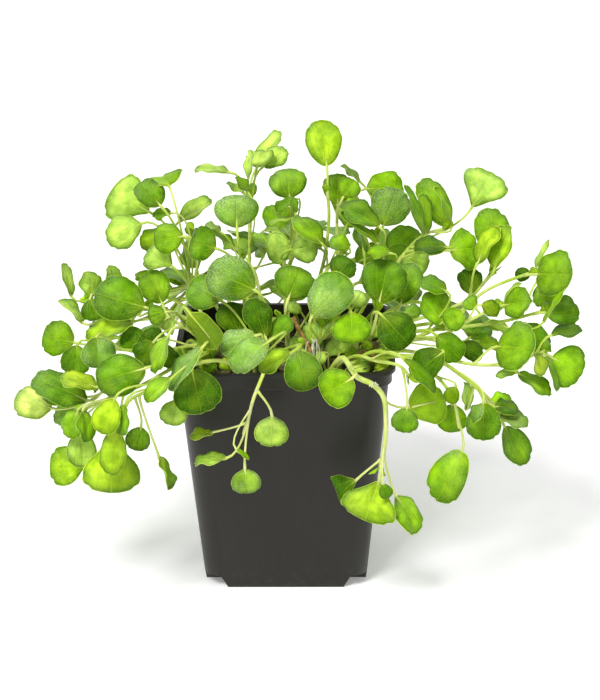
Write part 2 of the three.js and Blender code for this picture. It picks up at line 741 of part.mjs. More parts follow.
    leaves: [
      { foot: [447, 328], tip: [428, 291], near: 30, width: 14, turn: 25 },
      { foot: [463, 312], tip: [445, 325], near: 36, width: 10, turn: 0 },
      { foot: [447, 290], tip: [422, 278], near: 20, width: 11, turn: 45 },
      { foot: [470, 337], tip: [484, 319], near: 34, width: 13, turn: 0, lean: -8 },
      { foot: [461, 343], tip: [483, 357], near: 38, width: 9, turn: 20 },
      { foot: [437, 335], tip: [462, 359], near: 40, width: 12, turn: 20 },
      { foot: [478, 345], tip: [498, 340], near: 36, width: 8, turn: 40 },
      { foot: [404, 312], tip: [421, 309], near: 24, width: 7, turn: 30 },
    ],
  },
  {
    name: 'centre',
    root: [4, -4],
    stem: [onPicture(290, 345, 22), onPicture(283, 318, 26)],
    leaves: [
      { foot: [288, 299], tip: [300, 267], near: 30, width: 17, turn: 0 },
      { foot: [335, 277], tip: [350, 258], near: 6, width: 13, turn: 20 },
    ],
  },
  {
    name: 'centre_right',
    root: [10, -14],
    stem: [onPicture(318, 345, 28), onPicture(322, 325, 31)],
    leaves: [
      { foot: [312, 316], tip: [347, 276], near: 36, width: 17, turn: 0 },
      { foot: [352, 308], tip: [362, 291], near: 24, width: 8, turn: 0 },
      { foot: [351, 312], tip: [352, 344], near: 38, width: 15.5, turn: 0 },
    ],
  },
  {
    name: 'centre_front',
    root: [5, -29],
    stem: [onPicture(300, 353, 40), onPicture(300, 344, 46)],
    leaves: [
      { foot: [298, 350], tip: [307, 391], near: 52, width: 15, turn: 0 },
    ],
  },
  {
    name: 'centre_left',
    root: [-8, -6],
    stem: [onPicture(262, 345, 20), onPicture(256, 318, 24)],
    leaves: [
      { foot: [255, 290], tip: [208, 268], near: 32, width: 19, turn: 0 },
      { foot: [266, 337], tip: [251, 298], near: 30, width: 12, turn: 20 },
      { foot: [270, 338], tip: [290, 317], near: 36, width: 10, turn: 30 },
    ],
  },
  {
    name: 'centre_left_low',
    root: [-12, -21],
    stem: [onPicture(258, 350, 36), onPicture(250, 340, 40)],
    leaves: [
      { foot: [220, 300], tip: [188, 285], near: 34, width: 15, turn: 0 },
      { foot: [240, 333], tip: [225, 303], near: 30, width: 13, turn: 15 },
      { foot: [255, 335], tip: [220, 350], near: 36, width: 12, turn: 20 },
      { foot: [268, 341], tip: [229, 366], near: 52, width: 13, turn: 20 },
      { foot: [290, 352], tip: [258, 369], near: 48, width: 11, turn: 45 },
    ],
  },
  {
    name: 'left_front',
    root: [-29, -15],
    stem: [onPicture(205, 353, 40), onPicture(186, 357, 47)],
    leaves: [
      { foot: [192, 370], tip: [202, 414], near: 58, width: 19, turn: 0 },
      { foot: [201, 347], tip: [165, 387], near: 52, width: 15, turn: 64 },
      { foot: [170, 378], tip: [143, 399], near: 48, width: 11, turn: 48 },
      { foot: [160, 345], tip: [175, 365], near: 42, width: 10, turn: 35 },
      { foot: [167, 335], tip: [150, 372], near: 40, width: 13, turn: 62 },
      { foot: [175, 400], tip: [172, 426], near: 48, width: 11, turn: 0 },
      { foot: [190, 312], tip: [218, 345], near: 42, width: 12, turn: 160 },
    ],
  },
  {
    name: 'left_middle',
    root: [-31, -3],
    stem: [onPicture(205, 335, 14), onPicture(175, 322, 16), onPicture(150, 309, 16)],
    leaves: [
      { foot: [145, 307], tip: [94, 292], near: 26, width: 19, turn: 0 },
      { foot: [162, 303], tip: [148, 271], near: 12, width: 13, turn: 0 },
      { foot: [165, 312], tip: [148, 318], near: 26, width: 9, turn: 0 },
      { foot: [172, 318], tip: [167, 334], near: 26, width: 8, turn: 50 },
      { foot: [132, 321], tip: [84, 334], near: 26, width: 14, turn: 48 },
      { foot: [153, 342], tip: [138, 362], near: 36, width: 11, turn: 20 },
    ],
  },
  {
    name: 'left_tip',
    root: [-35, 7],
    stem: [onPicture(205, 330, 0), onPicture(160, 308, 2), onPicture(110, 300, 2), onPicture(90, 300, 4)],
    leaves: [
      { foot: [72, 296], tip: [65, 262], near: 6, width: 8, turn: 60 },
      { foot: [92, 298], tip: [92, 271], near: 0, width: 12, turn: 42 },
      { foot: [90, 299], tip: [97, 320], near: 14, width: 11, turn: 0 },
      { foot: [83, 322], tip: [62, 297], near: 12, width: 13, turn: 72 },
      { foot: [114, 285], tip: [114, 265], near: -4, width: 10, turn: 55 },
    ],
  },
  {
    name: 'left_lower',
    root: [-36, -9],
    stem: [
      onPicture(200, 345, 26), onPicture(165, 350, 32), onPicture(125, 350, 34), onPicture(98, 347, 34),
    ],
    leaves: [
      { foot: [74, 342], tip: [42, 335], near: 30, width: 15, turn: 0 },
      { foot: [77, 345], tip: [74, 376], near: 36, width: 12, turn: 0 },
      { foot: [97, 337], tip: [100, 368], near: 44, width: 15, turn: 20 },
      { foot: [88, 352], tip: [70, 364], near: 28, width: 9, turn: 0 },
      { foot: [146, 345], tip: [121, 335], near: 40, width: 11, turn: 0 },
      { foot: [165, 350], tip: [140, 335], near: 46, width: 13, turn: 0 },
    ],
  },
  {
    name: 'left_low_outer',
    root: [-35, -21],
    stem: [
      onPicture(195, 355, 38), onPicture(150, 365, 46), onPicture(115, 380, 48), onPicture(98, 387, 46),
    ],
    leaves: [
      { foot: [145, 368], tip: [95, 381], near: 54, width: 17, turn: 0 },
      { foot: [88, 400], tip: [33, 375], near: 44, width: 16, turn: 25 },
      { foot: [84, 396], tip: [42, 390], near: 34, width: 14, turn: 45 },
      { foot: [52, 408], tip: [14, 398], near: 38, width: 14, turn: 0 },
      { foot: [97, 386], tip: [62, 373], near: 52, width: 12, turn: 48 },
    ],
  },
  {
    name: 'left_hanging',
    root: [-27, -29],
    stem: [
      onPicture(190, 361, 48), onPicture(140, 386, 54), onPicture(100, 402, 54), onPicture(84, 410, 52),
    ],
    leaves: [
      { foot: [77, 410], tip: [65, 437], near: 46, width: 12, turn: 40 },
      { foot: [84, 410], tip: [90, 442], near: 56, width: 12, turn: 58 },
      { foot: [80, 431], tip: [83, 468], near: 48, width: 12, turn: 0 },
      { foot: [84, 466], tip: [49, 466], near: 40, width: 17, turn: 0 },
      { foot: [75, 409], tip: [52, 418], near: 42, width: 10, turn: 30 },
    ],
  },
  {
    name: 'left_hanging_inner',
    root: [-19, -34],
    stem: [
      onPicture(222, 361, 45), onPicture(190, 366, 54), onPicture(150, 390, 60), onPicture(130, 400, 62),
      onPicture(120, 422, 62),
    ],
    leaves: [
      { foot: [112, 437], tip: [111, 494], near: 62, width: 23, turn: 0 },
      { foot: [117, 427], tip: [110, 476], near: 68, width: 11, turn: 20 },
      { foot: [124, 404], tip: [119, 436], near: 66, width: 12, turn: 62 },
      { foot: [141, 427], tip: [135, 451], near: 58, width: 10, turn: 0 },
      { foot: [160, 456], tip: [174, 488], near: 60, width: 12, turn: 74 },
      { foot: [114, 399], tip: [100, 434], near: 56, width: 12, turn: 20 },
    ],
  },
  {
    name: 'front_hanging',
    root: [-9, -35],
    stem: [
      onPicture(268, 360, 43), onPicture(264, 372, 50), onPicture(253, 400, 53), onPicture(248, 420, 53),
      onPicture(243, 434, 53),
    ],
    leaves: [
      { foot: [213, 431], tip: [189, 433], near: 54, width: 9, turn: 60 },
      { foot: [272, 416], tip: [271, 447], near: 56, width: 13.5, turn: 0 },
      { foot: [226, 457], tip: [194, 460], near: 55, width: 11, turn: 62 },
      { foot: [237, 449], tip: [250, 458], near: 57, width: 5, turn: 70 },
      { foot: [245, 469], tip: [247, 494], near: 56, width: 12, turn: 0 },
    ],
  },
  {
    name: 'right_hanging',
    root: [18, -35],
    stem: [
      onPicture(343, 358, 43), onPicture(357, 377, 51), onPicture(372, 384, 53), onPicture(383, 396, 54),
      onPicture(386, 421, 54), onPicture(384, 450, 54), onPicture(380, 468, 54),
    ],
    leaves: [
      { foot: [352, 378], tip: [322, 396], near: 58, width: 16.5, turn: 0 },
      { foot: [410, 407], tip: [446, 398], near: 54, width: 18, turn: 180 },
      { foot: [355, 480], tip: [336, 496], near: 54, width: 15, turn: 20 },
      { foot: [379, 481], tip: [364, 521], near: 58, width: 23, turn: 0 },
      { foot: [397, 495], tip: [420, 532], near: 56, width: 13, turn: 38 },
      { foot: [384, 484], tip: [388, 499], near: 60, width: 6, turn: 20 },
    ],
  },
];

// Spots on a blade that stand for it where the plant is kept from crossing itself
function bladeSpots(blade) {
  const spots = [];
  for (const { share, count } of BLADE_RINGS) {
    for (let i = 0; i < count; i += 1) {
      const angle = i * 2 * Math.PI / count;
      const along = blade.length * (0.5 + 0.5 * share * Math.cos(angle));
      spots.push(onBlade(blade, along, 0.5 * blade.width * share * Math.sin(angle)));
    }
  }
  return spots;
}

function pathSpots(path, gap) {
  return path.getSpacedPoints(Math.max(2, Math.ceil(path.getLength() / gap)));
}

// Whether a spot is in the pot's wall or in the compost, or too near to them
function inPot({ x, y, z }) {
  const reach = Math.max(Math.abs(x), Math.abs(y));
  const isOver = z > POT_HEIGHT + POT_ROOM;
  const isBeside = reach > LIP_WIDTH / 2 + POT_ROOM;
  const isOverSoil = reach < BAND_WIDTH / 2 - WALL - POT_ROOM && z > SOIL_TOP + POT_ROOM;
  return !isOver && !isBeside && !isOverSoil;
}

// How free a set of spots is of what is already there: 1 or more is clear
function freedom(spots, taken, shoot, isBlade) {
  let least = spots.some(inPot) ? 0 : Infinity;
  for (const other of taken) {
    let need = isBlade && other.isBlade ? BLADE_ROOM : STEM_ROOM;
    if (other.shoot === shoot) {
      need = isBlade || other.isBlade ? OWN_ROOM : 0;
    }
    if (need > 0) {
      for (const spot of spots) {
        least = Math.min(least, spot.distanceTo(other.spot) / need);
      }
    }
  }
  return least;
}

// A leaf that would cross another is moved along the line of sight, as little as will do
function clearLeaf(bladeAt, stem, shoot, taken, joints) {
  let best = null;
  for (const shift of SHIFTS) {
    const blade = bladeAt(shift);
    const path = petiolePath(blade, stem, joints);
    const wide = bladeSpots(blade);
    const thin = pathSpots(path, SPOT_GAP);
    const free = Math.min(freedom(wide, taken, shoot, true), freedom(thin, taken, shoot, false));
    if (!best || free > best.free) {
      best = { free, blade, path, wide, thin };
    }
    if (free >= 1) {
      break;
    }
  }
  joints.push(best.path.v3);
  best.wide.forEach((spot) => taken.push({ spot, shoot, isBlade: true }));
  best.thin.forEach((spot) => taken.push({ spot, shoot, isBlade: false }));
  return best;
}

// A back stem is turned a little further round where it would come too near another
function clearStem(root, heading, tier, reach, height, stems) {
  let best = null;
  for (const turn of BACK_TURNS) {
    const turned = heading + THREE.MathUtils.degToRad(turn);
    const outward = new THREE.Vector3(Math.cos(turned), Math.sin(turned), 0);
    const crown = outward.clone().multiplyScalar(reach).setZ(height);
    const middle = new THREE.Vector3(...root, 0).lerp(crown, BACK_BEND).setZ(SOIL_TOP + tier.arch);
    const path = stemPath(root, [middle, crown]);
    const spots = pathSpots(path, SPOT_GAP);
    const free = Math.min(...stems.map((stem) => Math.min(
      ...stem.map((other) => Math.min(...spots.map((spot) => spot.distanceTo(other)))),
    )));
    if (!best || free > best.free) {
      best = { free, path, spots, outward, crown, heading: turned };
    }
    if (free > BACK_STEM_ROOM) {
      break;
    }
  }
  stems.push(best.spots);
  return best;
}

function within(draw, spread) {
  return draw(-spread, spread);
}

// A leaf of a back shoot stands round the stem's crown, face up and outward
function backLeaf(draw, { outward, crown, heading }, tier, index) {
  const fan = BACK_LEAF.spread * (index - (BACK_LEAF.count - 1) / 2);
  const around = heading + THREE.MathUtils.degToRad(fan + within(draw, BACK_LEAF.varies));
  const climb = THREE.MathUtils.degToRad(draw(...tier.climb));
  const axis = new THREE.Vector3(
    Math.cos(around) * Math.cos(climb), Math.sin(around) * Math.cos(climb), Math.sin(climb),
  );
  const foot = crown.clone()
    .addScaledVector(outward, -draw(...BACK_LEAF.inward))
    .addScaledVector(axis, draw(...BACK_LEAF.outward))
    .add(new THREE.Vector3(0, 0, within(draw, BACK_LEAF.height)));
  const tilt = [within(draw, BACK_LEAF.faceVaries), within(draw, BACK_LEAF.faceVaries)];
  const upper = new THREE.Vector3(...tilt, BACK_LEAF.faceUp).addScaledVector(outward, BACK_LEAF.faceOut);
  upper.addScaledVector(axis, -upper.dot(axis)).normalize();
  const length = draw(...BACK_LEAF.length);
  const width = length * draw(...BACK_LEAF.widthShare);
  const wave = draw(0, 2 * Math.PI);
  return { foot, axis, across: upper.clone().cross(axis), upper, length, width, wave };
}

// The shoots that stand behind the ones seen: two tiers that fan out towards the back
function backShoots(usedRoots, stems) {
  const draw = seededDraw(BACK_SEED);
  const shoots = [];
  for (const tier of BACK_TIERS) {
    for (let i = 0; i < tier.count; i += 1) {
      const wanted = THREE.MathUtils.degToRad(
        tier.first + i * tier.step + within(draw, BACK_STEM_VARIES.heading),
      );
      const reach = tier.reach - tier.shorter * Math.sin(wanted) + within(draw, BACK_STEM_VARIES.reach);
      const root = freeRoot(wanted, tier.rootReach, usedRoots);
      usedRoots.push(root);
      const height = tier.height + within(draw, BACK_STEM_VARIES.height);
      const stem = clearStem(root, wanted, tier, reach, height, stems);
      const leaves = [];
      for (let k = 0; k < BACK_LEAF.count; k += 1) {
        leaves.push(backLeaf(draw, stem, tier, k));
      }
      shoots.push({ name: `back_${tier.name}_${i + 1}`, path: stem.path, leaves });
    }
  }
  return shoots;
}

// The free place in the compost that is nearest to where a stem should stand
function freeRoot(heading, reach, usedRoots) {
  const held = (place) => THREE.MathUtils.clamp(place, -ROOTS.reach, ROOTS.reach);
  for (let i = 0; i < ROOTS.tries; i += 1) {
    const angle = i * ROOTS.turn;
    const away = ROOTS.step * Math.sqrt(i);
    const x = held(reach * Math.cos(heading) + away * Math.cos(angle));
    const y = held(reach * Math.sin(heading) + away * Math.sin(angle));
    if (usedRoots.every(([otherX, otherY]) => Math.hypot(x - otherX, y - otherY) > ROOTS.gap)) {
      return [x, y];
    }
  }
  throw new Error('no free place for a stem');
}

function movedBlade(blade, shift) {
  return { ...blade, foot: blade.foot.clone().addScaledVector(SIGHT.forward, -shift) };
}

function growShoots() {
  const draw = seededDraw(WAVE_SEED);
  const usedRoots = SHOOTS.map((shoot) => shoot.root);
  const all = SHOOTS.map(({ name, root, stem, leaves }) => ({
    name,
    path: stemPath(root, stem),
    bladesAt: leaves.map((row) => {
      const wave = draw(0, 2 * Math.PI);
      return (shift) => ({ ...placeBlade(row, shift), wave });
    }),
  }));
  const stems = all.map(({ path }) => pathSpots(path, SPOT_GAP));
  for (const { name, path, leaves } of backShoots(usedRoots, stems)) {
    all.push({
      name,
      path,
      bladesAt: leaves.map((blade) => (shift) => movedBlade(blade, shift)),
    });
  }
  const taken = [];
  for (const { name, path } of all) {
    pathSpots(path, SPOT_GAP).forEach((spot) => taken.push({ spot, shoot: name, isBlade: false }));
  }
  const grown = all.map(({ name, path, bladesAt }) => {
    const solids = [stemSolid(path)];
    const joints = [];
    for (const bladeAt of bladesAt) {
      const { blade, path: petiole } = clearLeaf(bladeAt, path, name, taken, joints);
      solids.push(leafSolid(blade, petiole));
    }
    return { name, solid: wasm.Manifold.union(solids) };
  });
  return { grown, usedRoots };
}

function addPiece(group, name, solid, material) {
  const mesh = new THREE.Mesh(toGeometry(solid), new THREE.MeshStandardMaterial(material));
  mesh.name = name;
  group.add(mesh);
}

const cress = new THREE.Group();
const { grown, usedRoots } = growShoots();
addPiece(cress, 'pot', makePot(), { color: COLOURS.pot, roughness: 0.45, metalness: 0 });
addPiece(cress, 'soil', makeSoil(usedRoots), { color: COLOURS.soil, roughness: 0.95, metalness: 0 });
for (const { name, solid } of grown) {
  addPiece(cress, `shoot_${name}`, solid, { color: COLOURS.leaf, roughness: 0.5, metalness: 0 });
}

export default cress;
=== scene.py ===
import math

import bmesh
import bpy
import numpy as np
from mathutils import Matrix, Vector, noise


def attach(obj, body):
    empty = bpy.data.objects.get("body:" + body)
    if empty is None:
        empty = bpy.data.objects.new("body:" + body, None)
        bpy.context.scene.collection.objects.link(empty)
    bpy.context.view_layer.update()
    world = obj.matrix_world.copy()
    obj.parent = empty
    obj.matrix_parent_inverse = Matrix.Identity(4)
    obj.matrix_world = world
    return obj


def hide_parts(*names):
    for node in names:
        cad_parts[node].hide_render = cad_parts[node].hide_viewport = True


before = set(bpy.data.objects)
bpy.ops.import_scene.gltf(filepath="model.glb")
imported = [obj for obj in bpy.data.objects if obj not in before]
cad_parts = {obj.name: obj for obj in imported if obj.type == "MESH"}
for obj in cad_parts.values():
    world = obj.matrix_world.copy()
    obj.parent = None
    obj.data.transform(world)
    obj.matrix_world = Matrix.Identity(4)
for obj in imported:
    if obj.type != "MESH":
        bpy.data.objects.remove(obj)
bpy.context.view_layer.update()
bpy.ops.object.select_all(action="DESELECT")
mm = 0.001
zAxis = np.array((0.0, 0.0, 1.0))

# The camera: distance and target in mm, angles in degrees, focal length in picture points
view = {
    "distance": 900,
    "target": (6.13, 0, 92.95),
    "rise": 19.63,
    "yaw": 0.92,
    "roll": -0.455,
    "focal": 2159,
    "picture": (600, 700),
    "sensor": 36,
    "farthest": 100000,
}


def unit(vector):
    return vector / np.linalg.norm(vector)


def viewDirections():
    rise = math.radians(view["rise"])
    yaw = math.radians(view["yaw"])
    roll = math.radians(view["roll"])
    back = np.array((math.sin(yaw) * math.cos(rise), -math.cos(yaw) * math.cos(rise), math.sin(rise)))
    level = unit(np.cross(-back, zAxis))
    upright = np.cross(level, -back)
    right = level * math.cos(roll) + upright * math.sin(roll)
    up = upright * math.cos(roll) - level * math.sin(roll)
    return {"eye": np.array(view["target"]) + back * view["distance"], "forward": -back, "right": right, "up": up}


sight = viewDirections()


def addCamera():
    bpy.ops.object.camera_add()
    camera = bpy.context.active_object
    camera.name = "photoCamera"
    turn = Matrix([list(column) for column in zip(sight["right"], sight["up"], -sight["forward"])])
    camera.matrix_world = Matrix.Translation(Vector(sight["eye"] * mm)) @ turn.to_4x4()
    camera.data.sensor_width = view["sensor"]
    camera.data.lens = view["focal"] * view["sensor"] / view["picture"][1]
    camera.data.clip_end = view["farthest"] * mm
    bpy.context.scene.camera = camera


addCamera()
print("camera placed")


# Small helpers for modelling
def makeActive(piece):
    bpy.ops.object.select_all(action="DESELECT")
    piece.select_set(True)
    bpy.context.view_layer.objects.active = piece


def pickPoints(piece, test):
    # selects, in edit mode, the points that pass the test
    bpy.ops.mesh.select_mode(type="VERT")
    bpy.ops.mesh.select_all(action="DESELECT")
    shape = bmesh.from_edit_mesh(piece.data)
    for point in shape.verts:
        point.select = bool(test(point.co / mm))
    shape.select_flush(True)
    bmesh.update_edit_mesh(piece.data)


def raiseTo(height, fromHeight, widen):
    # draws the selected faces out to a new height, with their width changed about the middle
    bpy.ops.mesh.extrude_region_move(TRANSFORM_OT_translate={"value": (0, 0, (height - fromHeight) * mm)})
    bpy.ops.transform.resize(value=(widen, widen, 1), center_override=(0, 0, 0))


def applyModifiers(piece):
    makeActive(piece)
    for modifier in list(piece.modifiers):
        bpy.ops.object.modifier_apply(modifier=modifier.name)


def nameBoth(piece, name):
    piece.name = name
    piece.data.name = name


def copyOf(master):
    # a copy with a mesh of its own
    piece = master.copy()
    piece.data = master.data.copy()
    bpy.context.collection.objects.link(piece)
    return piece


def dress(piece, finish, slot):
    piece.data.materials.clear()
    piece.data.materials.append(finish)
    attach(piece, "root")


def joinPieces(pieces, name):
    makeActive(pieces[0])
    for piece in pieces:
        piece.select_set(True)
    if len(pieces) > 1:
        bpy.ops.object.join()
    joined = bpy.context.active_object
    nameBoth(joined, name)
    bpy.ops.object.transform_apply(location=True, rotation=True, scale=True)
    return joined


def seededDraw(seed):
    # gives the same row of even draws between two values on each run
    state = [seed]

    def draw(low, high):
        state[0] = (state[0] * 1103515245 + 12345) & 0x7FFFFFFF
        return low + (high - low) * (state[0] / 0x80000000)

    return draw


def pointsOf(piece):
    places = np.empty(len(piece.data.vertices) * 3)
    piece.data.vertices.foreach_get("co", places)
    return places.reshape(-1, 3)


def setPoints(piece, places):
    piece.data.vertices.foreach_set("co", np.ascontiguousarray(places, dtype=float).ravel())
    piece.data.update()


# Colours are written as the picture's 0-255 values
def linear(colour):
    shares = [part / 255 for part in colour]
    return tuple(part / 12.92 if part <= 0.04045 else ((part + 0.055) / 1.055) ** 2.4 for part in shares)


# Helpers for materials
class Finish:
    def __init__(self, name):
        self.material = bpy.data.materials.new(name)
        self.material.use_nodes = True
        self.tree = self.material.node_tree
        self.shader = self.tree.nodes["Principled BSDF"]

    def add(self, kind, **settings):
        made = self.tree.nodes.new(kind)
        for key, value in settings.items():
            setattr(made, key, value)
        return made

    def feed(self, socket, value):
        if isinstance(value, bpy.types.NodeSocket):
            self.tree.links.new(value, socket)
        else:
            socket.default_value = value

    def work(self, operation, first, second=0.0):
        made = self.add("ShaderNodeMath", operation=operation)
        self.feed(made.inputs[0], first)
        self.feed(made.inputs[1], second)
        return made.outputs[0]

    def plus(self, first, second):
        return self.work("ADD", first, second)

    def minus(self, first, second):
        return self.work("SUBTRACT", first, second)

    def times(self, first, second):
        return self.work("MULTIPLY", first, second)

    def fade(self, value, low, high, fromShare=0.0, toShare=1.0):
        made = self.add("ShaderNodeMapRange", interpolation_type="SMOOTHSTEP")
        for socket, number in zip(made.inputs[:5], (value, low, high, fromShare, toShare)):
            self.feed(socket, number)
        return made.outputs[0]

    def mix(self, share, first, second, blend="MIX"):
        made = self.add("ShaderNodeMix", data_type="RGBA", blend_type=blend)
        self.feed(made.inputs[0], share)
        self.feed(made.inputs[6], first if isinstance(first, bpy.types.NodeSocket) else (*first, 1))
        self.feed(made.inputs[7], second if isinstance(second, bpy.types.NodeSocket) else (*second, 1))
        return made.outputs[2]

    def place(self):
        return self.add("ShaderNodeTexCoord").outputs["Object"]

    def parts(self, vector):
        made = self.add("ShaderNodeSeparateXYZ")
        self.feed(made.inputs[0], vector)
        return made.outputs

    def own(self, name, output="Fac"):
        # what the points of the piece carry under this name
        return self.add("ShaderNodeAttribute", attribute_name=name).outputs[output]

    def noise(self, place, size, detail=2.0, roughness=0.5):
        # size is how wide one blotch is, in mm
        made = self.add("ShaderNodeTexNoise")
        self.feed(made.inputs["Vector"], place)
        made.inputs["Scale"].default_value = 1 / (size * mm)
        made.inputs["Detail"].default_value = detail
        made.inputs["Roughness"].default_value = roughness
        return made.outputs["Fac"]

    def cells(self, place, size, feature="F1"):
        made = self.add("ShaderNodeTexVoronoi", feature=feature)
        self.feed(made.inputs["Vector"], place)
        made.inputs["Scale"].default_value = 1 / (size * mm)
        return made.outputs["Distance"]

    def bump(self, height, depth, strength, under=None):
        # depth in mm
        made = self.add("ShaderNodeBump")
        made.inputs["Strength"].default_value = strength
        made.inputs["Distance"].default_value = depth * mm
        self.feed(made.inputs["Height"], height)
        if under is not None:
            self.feed(made.inputs["Normal"], under)
        return made.outputs["Normal"]

    def set(self, **values):
        # an underscore stands for a space in the name of a socket
        for key, value in values.items():
            self.feed(self.shader.inputs[key.replace("_", " ")], value)


# The pot, in mm. It is a rounded square that widens upwards, with a band and a lip
potSize = {
    "height": 98.7,
    "lip": 90,
    "lipThickness": 1.6,
    "band": 87.2,
    "bandFoot": 92.2,
    "shoulder": 84.6,
    "shoulderHeight": 91.0,
    "base": 67,
    "cornerShare": 0.22,
    "cornerSteps": 10,
    "wall": 1.2,
    "inside": 6.4,
    "footHalf": 24,
    "footFlare": 3,
    "raised": 5.2,
    "cutReach": 0.75,
    "cutBelow": -5,
    "drainRadius": 2.5,
    "drainPlace": 28.5,
    "drainSides": 24,
    "drainDepth": 12,
    "softEdge": 0.35,
    "softSteps": 2,
    "softAngle": 28,
    "smoothAngle": 32,
}

# Its dark plastic, with dust on it and a worn foot; colours as the picture's 0-255 values
potFinish = {
    "dark": (20, 18, 12),
    "light": (36, 33, 25),
    "dust": (120, 114, 100),
    "dustShare": 0.08,
    "worn": (112, 108, 98),
    "wornShare": 0.08,
    "wornHeight": 14,
    "roughness": 0.34,
}


def insideWidth(height):
    body = potSize["base"] + (potSize["shoulder"] - potSize["base"]) * height / potSize["shoulderHeight"]
    return body - 2 * potSize["wall"]


def roundedSquare(width, height):
    bpy.ops.mesh.primitive_plane_add(size=width * mm, location=(0, 0, height * mm))
    piece = bpy.context.active_object
    bpy.ops.object.transform_apply(location=True)
    bpy.ops.object.mode_set(mode="EDIT")
    bpy.ops.mesh.select_mode(type="VERT")
    bpy.ops.mesh.select_all(action="SELECT")
    bpy.ops.mesh.bevel(offset=width * potSize["cornerShare"] / 2 * mm, segments=potSize["cornerSteps"],
                       affect="VERTICES")
    bpy.ops.mesh.select_mode(type="FACE")
    bpy.ops.mesh.select_all(action="SELECT")
    return piece


def cornerCutter(signX, signY):
    # the wedge that leaves one corner of the pot raised, with sloping inner sides
    far, low, top = potSize["base"] * potSize["cutReach"], potSize["cutBelow"], potSize["raised"]
    flat = potSize["footHalf"] + potSize["footFlare"]
    middle = (flat + far) / 2
    bpy.ops.mesh.primitive_cube_add(size=1, location=(signX * middle * mm, signY * middle * mm, (low + top) / 2 * mm),
                                    scale=((far - flat) * mm, (far - flat) * mm, (top - low) * mm))
    cutter = bpy.context.active_object
    bpy.ops.object.transform_apply(location=True, rotation=True, scale=True)
    slope = potSize["footFlare"] * (top - low) / top
    bpy.ops.object.mode_set(mode="EDIT")
    pickPoints(cutter, lambda place: place.z < 0 and abs(place.x) < middle)
    bpy.ops.transform.translate(value=(-signX * slope * mm, 0, 0))
    pickPoints(cutter, lambda place: place.z < 0 and abs(place.y) < middle)
    bpy.ops.transform.translate(value=(0, -signY * slope * mm, 0))
    bpy.ops.object.mode_set(mode="OBJECT")
    return cutter


def drainCutter(signX, signY):
    away = potSize["drainPlace"] * mm
    bpy.ops.mesh.primitive_cylinder_add(vertices=potSize["drainSides"], radius=potSize["drainRadius"] * mm,
                                        depth=potSize["drainDepth"] * mm,
                                        location=(signX * away, signY * away, potSize["raised"] * mm))
    return bpy.context.active_object


def makePot():
    pot = roundedSquare(potSize["base"], 0)
    inner = 2 * potSize["wall"]
    # height and width of each bend of the wall, up the outside and down the inside
    chain = (
        (potSize["shoulderHeight"], potSize["shoulder"]),
        (potSize["bandFoot"], potSize["band"]),
        (potSize["height"] - potSize["lipThickness"], potSize["band"]),
        (potSize["height"] - potSize["lipThickness"], potSize["lip"]),
        (potSize["height"], potSize["lip"]),
        (potSize["height"], potSize["band"] - inner),
        (potSize["bandFoot"], potSize["band"] - inner),
        (potSize["shoulderHeight"], insideWidth(potSize["shoulderHeight"])),
        (potSize["inside"], insideWidth(potSize["inside"])),
    )
    height, width = 0, potSize["base"]
    for nextHeight, nextWidth in chain:
        raiseTo(nextHeight, height, nextWidth / width)
        height, width = nextHeight, nextWidth
    bpy.ops.mesh.select_all(action="SELECT")
    bpy.ops.mesh.normals_make_consistent(inside=False)
    bpy.ops.object.mode_set(mode="OBJECT")
    cutters = [make(x, y) for make in (cornerCutter, drainCutter) for x in (-1, 1) for y in (-1, 1)]
    for cutter in cutters:
        cut = pot.modifiers.new("cut", "BOOLEAN")
        cut.operation = "DIFFERENCE"
        cut.solver = "EXACT"
        cut.object = cutter
    applyModifiers(pot)
    for cutter in cutters:
        bpy.data.objects.remove(cutter)
    soften = pot.modifiers.new("soften", "BEVEL")
    soften.width = potSize["softEdge"] * mm
    soften.segments = potSize["softSteps"]
    soften.limit_method = "ANGLE"
    soften.angle_limit = math.radians(potSize["softAngle"])
    applyModifiers(pot)
    bpy.ops.object.shade_smooth_by_angle(angle=math.radians(potSize["smoothAngle"]))
    nameBoth(pot, "nursery_pot")
    return pot


def potPlastic():
    look = Finish("charcoalPlastic")
    place = look.place()
    height = look.parts(place)["Z"]
    drawn = look.add("ShaderNodeMapping")     # streaks run up the wall
    drawn.inputs["Scale"].default_value = (1, 1, 0.08)
    look.feed(drawn.inputs["Vector"], place)
    streaks = look.noise(drawn.outputs[0], 1.6, 3)
    clouds = look.noise(place, 22, 3)
    dust = look.fade(look.noise(place, 0.5, 2), 0.66, 0.74)
    foot = look.fade(height, 0.0, potFinish["wornHeight"] * mm, 1.0, 0.0)
    worn = look.times(foot, look.fade(look.noise(place, 2.2, 4), 0.5, 0.7))
    colour = look.mix(look.times(look.plus(streaks, clouds), 0.5), linear(potFinish["dark"]),
                      linear(potFinish["light"]))
    colour = look.mix(look.times(dust, potFinish["dustShare"]), colour, linear(potFinish["dust"]))
    colour = look.mix(look.times(worn, potFinish["wornShare"]), colour, linear(potFinish["worn"]))
    roughness = look.plus(look.times(clouds, 0.12), potFinish["roughness"])
    grain = look.bump(look.noise(place, 0.35, 2), 0.05, 0.35)
    ripple = look.bump(streaks, 0.05, 0.25, grain)
    look.set(Base_Color=colour, Roughness=roughness, Normal=ripple, IOR=1.46, Specular_IOR_Level=0.38)
    return look.material


pot = makePot()
dress(pot, potPlastic(), "pot")
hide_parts("pot")
print("pot made")


# Paths in mm, for stems and petioles
pathSamples = 201


